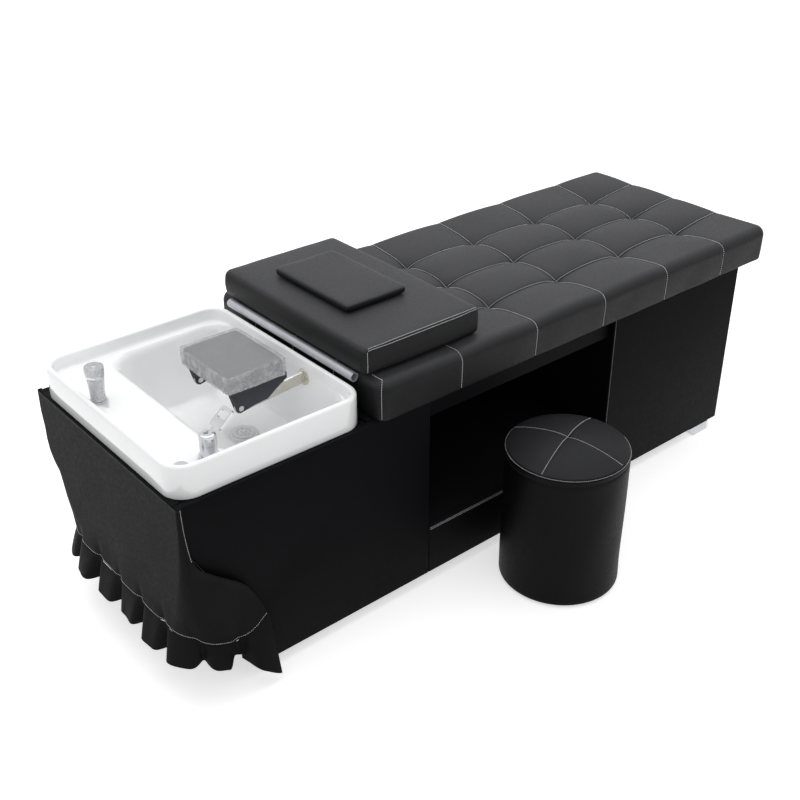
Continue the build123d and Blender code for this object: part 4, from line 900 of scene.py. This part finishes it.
# %% From the foot over the rim and the deck to the drain
# each row: set in at the head end, at the cushion and at the sides; corner radius; height
insets = np.concatenate([
    [[1, 1, 1, 54, foot_z], [0, 0, 0, 55, foot_z + 2], [0, 0, 0, 55, rim_z - 20]],
    round_corner([0, 0, 0, 55, rim_z - 8], [7, 7, 7, 48, rim_z], [0, 0, 0, 55, rim_z]),
    round_corner([9, 9, 9, 46, rim_z], [14, 14, 14, 42, rim_z - 6], [14, 14, 14, 42, rim_z]),
    round_corner([15, 14, 15, 42, deck_z + 9], [24, 14.3, 21, 40, deck_z], [16, 14.3, 16, 41, deck_z]),
    [[head, 14.4, 22 + head / 18, 42 + head / 12, deck_z] for head in (50, 75, 100, 118)],
    round_corner([132, 14.5, 30, 58, deck_z], [158, 15.6, 44, 60, deck_z - 26], [154, 14.8, 38, 60, deck_z], 9),
    [[162, 16.5, 50, 60, deck_z - 45], [170, 18.4, 63, 62, 487], [180, 20, 80, 64, 456]],
    round_corner([190, 21.5, 96, 66, 436], [222, 38, 132, 70, floor_z], [199, 23, 108, 68, floor_z + 1], 8)])
rows = (np.array([basin_low[0], basin_high[0], basin_high[1], 0, 0])
        + np.array([1, -1, -1, 1, 1]) * insets)
drain_x, drain_r = -563.0, 24.2
hole = np.array([drain_x - drain_r, drain_x + drain_r, drain_r, drain_r - 0.7, floor_z])
rows = np.concatenate([rows, rows[-1] + np.linspace(0, 1, 6)[1:, None] * (hole - rows[-1])])
basin_points = np.stack([rounded_ring(*row) for row in rows])
print("basin rings:", basin_points.shape)

# %% Basin sheet with its thickness and tap holes


def pin_cutter(places, bottom, top, segments=32):
    """One mesh of upright pins, each (x, y, radius), used to drill through the basin."""
    turn = np.arange(segments) * 2 * np.pi / segments
    points, faces = [], []
    for count, (x, y, radius) in enumerate(places):
        circle = np.column_stack(around((x, y), radius, turn))
        points += [np.column_stack([circle, np.full(segments, z)]) for z in (bottom, top)]
        start = 2 * segments * count
        low_ring = list(range(start, start + segments))
        high_ring = list(range(start + segments, start + 2 * segments))
        faces += [low_ring[::-1], high_ring]
        faces += [[low_ring[k], low_ring[(k + 1) % segments], high_ring[(k + 1) % segments], high_ring[k]]
                  for k in range(segments)]
    mesh = bpy.data.meshes.new("pins")
    mesh.from_pydata((np.concatenate(points) * MM).tolist(), [], faces)
    return add_object("pins", mesh)


basin_quads = grid_faces(*basin_points.shape[:2], wrap=True)
glazed_basin = make_piece("glazed_basin", basin_points, basin_quads, basin_glaze, "base", closed=False,
                          stands_for=("wash_basin",))
if sum(face.normal.z * face.area for face in glazed_basin.data.polygons) < 0:
    glazed_basin.data.flip_normals()
sprayer_hole, mixer_hole = (-862.5, 97.0, 14.5), (-794.5, -248.0, 16.0)
drill_pins = pin_cutter([sprayer_hole, mixer_hole], deck_z - 12, deck_z + 8)
add_modifier(glazed_basin, "sheet", "SOLIDIFY", thickness=5 * MM, offset=-1)
add_modifier(glazed_basin, "tap_holes", "BOOLEAN", operation="DIFFERENCE", solver="EXACT", object=drill_pins)
baked_mesh(glazed_basin)
bpy.data.objects.remove(drill_pins)
glazed_basin.data.materials.clear()
glazed_basin.data.materials.append(basin_glaze)
print("glazed basin:", len(glazed_basin.data.polygons), "faces")

# %% [markdown]
# ## The skirt
#
# A leather cloth hides the pipes at the head end. It is tacked to the top of the box, hangs
# round both corners, and a gathered ruffle is sewn to its lower edge. Seen from above its line is
# a long U. The surface is that U, swept from the top down, while three things change on the way:
# how far it stands off the box, how round its corners are, and how strongly it waves.

# %% The U-shaped plan line
box_low = node_box("front_head_panel")[0]
head_x, half_y = box_low[0], -box_low[1]


def plan_line(s, out, side_out, back_r, front_r, reach):
    """Place, outward direction and walked length of a U: side, corner arc, face, corner arc, side.

    s runs from 0 to 5, one unit for each of the five runs."""
    s, out, side_out, back_r, front_r, reach = np.broadcast_arrays(s, out, side_out, back_r, front_r, reach)
    face_x = head_x - out
    back_y, front_y = half_y + side_out, -half_y - side_out
    back_r, front_r = np.minimum(back_r, reach + out - 2), np.minimum(front_r, reach + out - 2)
    quarter, part = np.pi / 2, np.clip(np.floor(s).astype(int), 0, 4)
    runs = np.stack([head_x + reach - face_x - back_r, quarter * back_r, back_y - front_y - back_r - front_r,
                     quarter * front_r, head_x + reach - face_x - front_r])
    share = s - part
    before = np.concatenate([np.zeros((1, *s.shape)), np.cumsum(runs, 0)])
    walked = (np.take_along_axis(before, part[None], 0)[0]
              + share * np.take_along_axis(runs, part[None], 0)[0])
    sine, cosine = np.sin(share * quarter), np.cos(share * quarter)
    x = np.choose(part, [head_x + reach - share * runs[0], face_x + back_r * (1 - sine), face_x,
                         face_x + front_r * (1 - cosine), face_x + front_r + share * runs[4]])
    y = np.choose(part, [back_y, back_y - back_r * (1 - cosine), back_y - back_r - share * runs[2],
                         front_y + front_r * (1 - sine), front_y])
    normal_x = np.choose(part, [0, -sine, -1, -cosine, 0])
    normal_y = np.choose(part, [1, cosine, 0, -sine, -1])
    return x, y, normal_x, normal_y, walked


# %% Thin shells of cloth


def plan_stops(counts):
    """Values of s with a chosen number of steps on each of the five runs."""
    return np.concatenate([[0]] + [k + np.linspace(0, 1, count + 1)[1:] for k, count in enumerate(counts)])


def cloth_shell(points, thickness):
    """A closed thin shell round a grid: half the thickness along the normal on each side, and a rim."""
    normal = unit(np.cross(np.gradient(points, axis=0), np.gradient(points, axis=1)))
    quads, border = grid_faces(*points.shape[:2]), grid_border(*points.shape[:2])
    after, count = np.roll(border, -1), points.shape[0] * points.shape[1]
    rim = np.stack([border, after, after + count, border + count], 1)
    shell = np.stack([points + normal * thickness / 2, points - normal * thickness / 2])
    return shell, np.concatenate([quads, quads[:, ::-1] + count, rim[:, ::-1]])


def grid_area(points):
    """Area of a grid in square metres: half the cross product of each quad's diagonals."""
    first = points[1:, 1:] - points[:-1, :-1]
    second = points[1:, :-1] - points[:-1, 1:]
    return float(np.linalg.norm(np.cross(first, second), axis=-1).sum() / 2 * MM ** 2)


def cloth_piece(name, grid, thickness, material, body, stands_for=(), **how):
    """A grid as a thin sheet on a body, with its flat size printed; how it is held is not used."""
    piece = make_piece(name, *cloth_shell(grid, thickness), material, body, stands_for=stands_for)
    print(name, len(piece.data.polygons), "faces,", round(grid_area(grid), 4), "m2 of", how["flat"], "m")
    return piece


print("head face at x", head_x, "sides at y", half_y)

# %% Skirt panel
box_top = 529.0
# share of the box's height, share of the hang, corner radius behind, corner radius in front
skirt_table = np.array([
    [0.22, 1.0, 186, 86], [0.36, 0.80, 180, 78], [0.46, 0.65, 148, 55], [0.59, 0.45, 92, 30],
    [0.65, 0.35, 75, 22], [0.745, 0.20, 36, 14], [0.82, 0.10, 15, 8], [0.90, 0.04, 3.5, 3.5],
    [1.0, 0.0, 3.5, 3.5]]).T
tacked_out, face_hang, side_hang = 2.2, 16, 12
seam_reach, seam_z, seam_dip, dip_top = 178.0, 190.0, 48.0, 350.0
# share of the way from the head face to the seam's end, and the share of the dip there
dip_table = [0, 0.25, 0.45, 0.60, 0.75, 0.85, 1], [0, 0.55, 0.9, 1, 0.9, 0.70, 0.05]
# height, and how much further back the end behind reaches there
back_table = [340, 376, 402, 440, 480], [0, 13, 14, 10, 0]
ruffle_waves, first_valley, seam_wave, seam_spread = 9.5, 0.75, 3.0, 34
curl_height, curl_width, curl_top, curl_fade = 7.0, 34, 430, 60


def dip_at(x):
    """How far the seam hangs below its height at a distance behind the head face."""
    return seam_dip * np.interp((x - head_x) / seam_reach, *dip_table)


# the free edge: how far it reaches behind the head face, and its height there
lobe_x = np.array([9, 10.7, 13, 16, 26, 44.5, 66, 89, 115, 139, 155, 165.5, 172, 175, 178])
lobe_z = np.array([534, 476, 438, 402, 376, 357, 338, 320, 299, 272, 245, 217, 200, 192, 188.5])
lobe_dip = dip_at(head_x + lobe_x)
dip_share = lobe_dip / (dip_top - seam_z)
lobe_level = np.where(lobe_z < dip_top - lobe_dip * 0.2, (lobe_z + dip_top * dip_share) / (1 + dip_share), lobe_z)
lobe_order = np.argsort(lobe_level)


# %% Hanging surface of the skirt


def gather_wave(turns):
    """Broad rounds with narrow valleys: 1 - 2 exp(-(sin(phi / 2) / 0.36) ** 2), phi in turns."""
    return 1 - 2 * np.exp(-(np.sin(np.pi * turns) / 0.36) ** 2)


def skirt_surface(s, level):
    """Plan line at a level, pushed out by its hang and by soft folds, and curled off the box in front.

    The end behind reaches a little further, so it covers the edge of the box there."""
    out_share, back_r, front_r = (np.interp(level, skirt_table[0] * box_top, row) for row in skirt_table[1:])
    reach = np.interp(level, lobe_level[lobe_order], lobe_x[lobe_order])
    shape = (tacked_out + out_share * face_hang, tacked_out + out_share * side_hang, back_r, front_r, reach)
    x, y, normal_x, normal_y, walked = plan_line(s, *shape)
    whole = plan_line(5.0, *shape)[4]
    x = x + np.where(s < 1, (1 - s) * np.interp(level, *back_table), 0)
    near_seam = np.exp(-((level - seam_z) / seam_spread) ** 2)
    folds = out_share * (2.2 * np.sin(walked / 41 + level / 160) + 1.6 * np.sin(walked / 23 - level / 90 + 2))
    folds = folds + seam_wave * near_seam * gather_wave(ruffle_waves * walked / whole - first_valley)
    near_end = np.where(s > 4, np.clip(1 - (head_x + reach - x) / curl_width, 0, 1), 0)
    curl = curl_height * near_end ** 2 * np.clip((curl_top - level) / curl_fade, 0, 1)
    push = folds + curl
    z = level - dip_at(x) * np.clip((dip_top - level) / (dip_top - seam_z), 0, 1)
    return np.stack([x + normal_x * push, y + normal_y * push, z], -1)


level_stops = np.concatenate([np.linspace(seam_z, 300, 22), np.linspace(305, box_top + 0.5, 30)])
panel_s, panel_level = np.meshgrid(plan_stops((6, 60, 76, 28, 28)), level_stops, indexing="ij")
hung_panel = cloth_piece("hung_skirt_panel", skirt_surface(panel_s, panel_level), 1.8, skirt_leather, "base",
                         ("skirt_panel",), flat=(1.02, 0.39), held="hung", rests_on=["front_head_panel"])

# %% Ruffle
hem_reach, ruffle_rows = 192.0, 30
seam_line, hem_line = (15.0, 11.8, 180.0, 80.0, seam_reach), (25.0, 25.0, 186.0, 86.0, hem_reach)
notch_x, notch_half, notch_height = -826, 20.5, 50
hem_wave, hem_in, hem_pinch, valley_lift, hem_lowest, ruffle_least = 17.5, 1.6, 4.2, 8.0, 14.2, 8
# share of the way from the head face to the hem's end, and the hem's height there
hem_table = [-0.2, 0, 0.25, 0.35, 0.5, 0.6, 0.8, 1], [118, 118, 112, 104, 80, 67, 38, 14.5]


def ruffle_surface(s, share):
    """From the seam (share 0) to the hem (1): reach, stand-off and wave all grow with the share."""
    start, end = plan_line(s, *seam_line), plan_line(s, *hem_line)
    turns = ruffle_waves * end[4] / plan_line(5.0, *hem_line)[4] - first_valley
    wave = gather_wave(turns)
    uneven = 1 + 0.22 * np.sin(2.4 * turns + 1.1) + 0.12 * np.sin(5.3 * turns)
    ease = share ** 0.8
    x, y, normal_x, normal_y = ((1 - ease) * first + ease * last for first, last in zip(start[:4], end[:4]))
    size = np.hypot(normal_x, normal_y)
    normal_x, normal_y = normal_x / size, normal_y / size
    pinch = hem_pinch * ease * np.sin(2 * np.pi * turns) * uneven
    push = wave * (seam_wave * (1 - ease) + hem_wave * ease * uneven) - hem_in * ease
    x = x + normal_x * push - normal_y * pinch
    y = y + normal_y * push + normal_x * pinch
    top_z = seam_z - dip_at(start[0]) + 1.0
    on_side = (end[0] - head_x) / hem_reach
    hem_z = np.interp(on_side, *hem_table) + valley_lift * (1 - wave) / 2 + 2.2 * np.sin(3.1 * turns)
    in_front = end[1] < -half_y
    hem_z = hem_z + in_front * notch_height * np.exp(-((end[0] - notch_x) / notch_half) ** 4)
    hem_z = np.clip(hem_z, hem_lowest, top_z - ruffle_least)
    return np.stack([x, y, top_z + share * (hem_z - top_z)], -1)


ruffle_s, ruffle_share = np.meshgrid(plan_stops((12, 120, 140, 56, 56)), np.linspace(0, 1, ruffle_rows),
                                     indexing="ij")
ruffle_grid = ruffle_surface(ruffle_s, ruffle_share)
hem_length = run_along(ruffle_grid[:, -1])[-1]
cloth_piece("gathered_ruffle", ruffle_grid, 1.6, skirt_leather, "base", ("skirt_ruffle",),
            flat=(round(hem_length * MM, 3), 0.16), held="gathered", rests_on=[hung_panel])

# %% Thread of the skirt
skirt_inside = np.array([head_x + 240, 0, 0])
above_seam, edge_low, edge_top = 4.5, 398, 527


def skirt_line(s, level, lift=1.0):
    """A line on the skirt's outer face, with outward normals from the surface's differences."""
    place = skirt_surface(s, level)
    normal = unit(np.cross(skirt_surface(s + 0.01, level) - skirt_surface(s - 0.01, level),
                           skirt_surface(s, level + 2) - skirt_surface(s, level - 2)))
    normal *= np.sign(((place - skirt_inside) * normal)[:, :2].sum(1))[:, None]
    return place + normal * lift, normal


seam_s = plan_stops((12, 100, 160, 50, 50))
seam_s = seam_s[(seam_s > 0.03) & (seam_s < 4.97)]
edge_level = np.linspace(edge_low, edge_top, 70)
edge_s = np.interp(edge_level, [edge_low, edge_top], [4.80, 4.55])
skirt_lines = [skirt_line(seam_s, np.full_like(seam_s, seam_z + above_seam)), skirt_line(edge_s, edge_level)]
stitch("skirt_stitching", skirt_lines, "base", pitch=5.0, length=3.8, radius=0.52)

# %% [markdown]
# ## The stool
#
# A drum in the same leather with a domed seat. The side is a lathe: one profile turned about
# the stool's middle, with a soft fold just below the seam where the cover is pulled over the
# foam. The seat is a dome with a cross of stitched seams, and its two grooves are set turned,
# as the stool stands in the photograph.

# %% Lathe


def lathe(name, profile, middle, material, body, columns, ripple_by, stands_for):
    """Rings of a profile (radius, z) about an upright axis, closed by a flat face at each end."""
    profile = np.asarray(profile, float)
    turn = np.arange(columns) * 2 * np.pi / columns
    radius = np.repeat(profile[:, :1], columns, 1)
    z = np.repeat(profile[:, 1:], columns, 1)
    radius, z = ripple_by(radius, z, turn[None, :])
    points = np.stack([*around(middle, radius, turn), z], -1)
    faces = grid_faces(len(profile), columns, wrap=True).tolist()
    last = (len(profile) - 1) * columns
    faces += [list(range(columns))[::-1], list(range(last, last + columns))]
    return make_piece(name, points, faces, material, body, stands_for=stands_for)


stool_low, stool_top = node_box("stool_drum")[0], node_box("stool_cushion")[1]
stool_middle = (stool_low + node_box("stool_drum")[1])[:2] / 2
stool_r = (node_box("stool_drum")[1] - stool_low)[0] / 2
side_z, ring_z, crown_z = 356.0, 371.0, stool_top[2]
print("stool at", stool_middle.round(1), "radius", stool_r.round(1), "side to", side_z)

# %% Side and seat cover


def drum_folds(radius, z, turn):
    """Faint dents of the side: two slow waves round the drum, none at its ends."""
    calm = np.clip((z - stool_low[2]) / 60, 0, 1) * np.clip((side_z - z) / 30, 0, 1)
    return radius + calm * (0.7 * np.sin(3 * turn + z / 70) + 0.4 * np.sin(7 * turn - z / 45)) - calm * 0.6, z


foot_turn = np.linspace(0, np.pi / 2, 6)
foot_r = 8.6
side_profile = np.concatenate([
    np.column_stack([stool_r - 9 + foot_r * np.sin(foot_turn), stool_low[2] + foot_r * (1 - np.cos(foot_turn))]),
    np.column_stack([np.full(28, stool_r - 0.4), np.linspace(stool_low[2] + 20, side_z - 5, 28)]),
    np.array([stool_r, side_z]) + [[-0.9, -2.5], [-2.2, -0.5], [-5, 0.6]]])
lathe("stool_side_cover", side_profile, stool_middle, stool_leather_painted_shade, "stool", 120, drum_folds, ("stool_drum",))

# %% Domed seat with its cross of seams
cross_turns = np.radians([19.0, 104.0])
dome_rim, dome_rise = stool_r - 4, crown_z - ring_z - 3
dome_sphere = (dome_rim ** 2 + dome_rise ** 2) / (2 * dome_rise)
cut_depth, cut_half, hollow_depth, hollow_half = 1.5, 2.6, 2.6, 22


def dome_height(x, y):
    """A spherical cap from the seam ring to the crown, less a groove along each seam of the cross."""
    distance = np.hypot(x, y)
    z = crown_z - dome_sphere + np.sqrt(np.maximum(dome_sphere ** 2 - distance ** 2, 0))
    for angle in cross_turns:
        gap = x * np.sin(angle) - y * np.cos(angle)
        z = z - cut_depth * np.exp(-(gap / cut_half) ** 2)
        z = z - hollow_depth * np.exp(-(gap / hollow_half) ** 2) * (1 - (distance / dome_rim) ** 2)
    return z


def seat_ripple(radius, z, turn):
    """The dome's height on its rings, and folds of the pulled cover between the side and the seam."""
    x, y = radius * np.cos(turn), radius * np.sin(turn)
    on_dome = z > ring_z + 2.5
    pull = np.exp(-((z - side_z - 5) / 5) ** 2) * (0.3 * np.sin(5 * turn + 0.7) + 0.3 * np.sin(11 * turn + 2) - 0.4)
    return np.where(on_dome, radius, radius + pull), np.where(on_dome, dome_height(x, y), z)


seat_profile = np.concatenate([
    np.array([stool_r, side_z]) + [[-8, -4], [-4.2, -3], [-2.6, -0.8], [-1.6, 2], [-0.8, 5], [-0.3, 8.5],
                                   [-0.3, 11.5], [-1.3, 14], [-2.4, 15], [-3.2, 16.4]],
    np.column_stack([np.linspace(stool_r - 4, 3, 44), np.full(44, ring_z + 5)])])
stool_seat = lathe("stool_seat_cover", seat_profile, stool_middle, stool_leather_painted_shade, "stool", 180, seat_ripple,
                   ("stool_cushion",))

# %% Thread of the stool
ring_turn, ring_in, cross_aside = np.linspace(0, 2 * np.pi, 400), 1.7, 2.2
ring_line = np.column_stack([*around(stool_middle, stool_r - ring_in, ring_turn), np.full(400, ring_z - 0.3)])
ring_out = np.column_stack([np.cos(ring_turn), np.sin(ring_turn), np.full(400, 0.9)])
stitch("stool_ring_stitching", [(ring_line, ring_out)], "stool", pitch=4.6, length=3.6, radius=0.5)


def dome_point(x, y):
    """A place on the dome, in the model's millimetres."""
    return np.stack([stool_middle[0] + x, stool_middle[1] + y, dome_height(x, y)], -1)


cross_run = np.linspace(-(stool_r - 6), stool_r - 6, 200)
cross_places = [(cross_run * np.cos(angle) - cross_aside * np.sin(angle),
                 cross_run * np.sin(angle) + cross_aside * np.cos(angle)) for angle in cross_turns]
stitch("stool_cross_stitching", [(dome_point(x, y), slope_normals(dome_point, x, y, 0.5)) for x, y in cross_places],
       "stool", pitch=5.0, length=3.9, radius=0.72)

# %% [markdown]
# ## Straight seams of the box
#
# The box is wrapped board. Its seams run straight along edges: a double one on the low strip at
# the front of the recess, and a single one up the edge of the foot cabinet.

# %% Thread of the box


def straight_line(start, end, normal, count=60):
    """A straight stitched line from start to end, with one normal all along."""
    share = np.linspace(0, 1, count)[:, None]
    points = np.array(start, float) + share * (np.array(end, float) - np.array(start, float))
    return points, np.repeat(np.array([normal], float), count, 0)


trim_low, trim_high = node_box("recess_edge_trim")
cabinet_low, cabinet_high = node_box("foot_cabinet_front")
front_y, seam_in = trim_low[1] - 0.2, 2.2
box_lines = [straight_line((trim_low[0] + 2, front_y, z), (trim_high[0] - 2, front_y, z), (0, -1, 0))
             for z in (trim_low[2] + seam_in, trim_high[2] - seam_in)]
stitch("recess_stitching", box_lines, "base", pitch=5.0, length=3.8, radius=0.5)
edge_x, edge_y = cabinet_low[0] + 4.5, cabinet_low[1] - 0.1
stitch("cabinet_stitching", [straight_line((edge_x, edge_y, cabinet_low[2] + 6),
                                           (edge_x, edge_y, cabinet_high[2] - 4), (0, -1, 0))],
       "base", pitch=6.0, length=4.4, radius=0.33)

# %% [markdown]
# ## Packing film
#
# The headrest and the sprayer still wear the clear film they are shipped in. Thin film is nearly
# nothing to look through and very bright where it folds, and that brightness is painted in: its
# material is mostly alpha, low on flat stretches and higher, as painted sheen, on the creases and the sides.

# %% Film over the headrest pad
rest_low, rest_high = node_box("headrest_cushion")
board_low = node_box("headrest_board")[0]
film_gap, fold_depth, long_fold_height = 1.5, 2.2, 0.5
film_low = np.array([rest_low[0] - film_gap, rest_low[1] - film_gap, board_low[2] - 0.5])
film_high = rest_high + np.array([film_gap, film_gap, 1.0])
film_points = soft_box(film_low, film_high, 9.0, 5.0, 2.0, 3.0, bow=0.6, crown=1.6)[0]
film_middle = (film_low + film_high) / 2
offset = film_points - film_middle
side_share = np.clip(np.maximum(np.abs(offset[..., 0]) / (film_high - film_middle)[0],
                                np.abs(offset[..., 1]) / (film_high - film_middle)[1]), 0, 1)
on_side = np.clip((side_share - 0.90) / 0.08, 0, 1) * np.clip((film_high[2] - film_points[..., 2]) / 6, 0, 1)
x, y, z = film_points[..., 0], film_points[..., 1], film_points[..., 2]
crinkle = (np.abs(ripple(x + 2 * z, y - 3 * z, 34, 21)) + 0.6 * np.abs(ripple(x - 3 * z, y + 2 * z, 17, 22)) - 0.8)
long_fold = ripple(x, y, 60, 23)
away = offset / (np.linalg.norm(offset[..., :2], axis=-1)[..., None] + 1e-6)
away[..., 2] = 0
film_points = film_points + away * (on_side * fold_depth * crinkle)[..., None]
film_points[..., 2] += (1 - on_side) * long_fold_height * long_fold * (z > rest_high[2] - 8)
cloth_piece("headrest_film", film_points, 0.3, film_clear, "headrest", flat=(0.27, 0.31), held="folded",
            rests_on=[headrest_pad])

# %% Film over the sprayer and its body
spray_low, spray_high = node_box("sprayer_body")
spray_middle = (spray_low + spray_high)[:2] / 2
spray_r = (spray_high - spray_low)[0] / 2
height = spray_high[2] - spray_low[2]
film_r = np.interp(np.linspace(0, 1, 24), [0, 0.12, 0.45, 0.75, 0.93, 1],
                   [17.6, 17.2, 15.6, 18.6, spray_r + 1.3, spray_r + 0.6])


def bag_folds(radius, z, turn):
    """Small upright folds of a film bag, deepest at the waist, in whole numbers round the sprayer."""
    waist = np.exp(-((z - spray_low[2] - 0.4 * height) / 22) ** 2)
    fold = np.abs(np.sin(4.5 * turn + z / 14)) + 0.5 * np.abs(np.sin(7.5 * turn - z / 9))
    return radius + (0.25 + 0.8 * waist) * (fold - 0.6) * np.clip(radius / 10, 0, 1)


film_profile = np.column_stack([film_r, np.linspace(spray_low[2] + 1.5, spray_high[2] + 0.8, 24)])
film_profile = np.concatenate([film_profile, [[spray_r - 2, spray_high[2] + 1.6], [6, spray_high[2] + 1.8]]])
bag_turn = np.linspace(0, 2 * np.pi, 73)
bag_r = bag_folds(film_profile[:, :1], film_profile[:, 1:], bag_turn[None])
bag_points = np.stack([*around(spray_middle, bag_r, bag_turn), np.repeat(film_profile[:, 1:], len(bag_turn), 1)], -1)
cloth_piece("sprayer_film", bag_points, 0.25, film_clear, "sprayer", flat=(0.15, 0.12), held="folded",
            rests_on=["sprayer_body"])
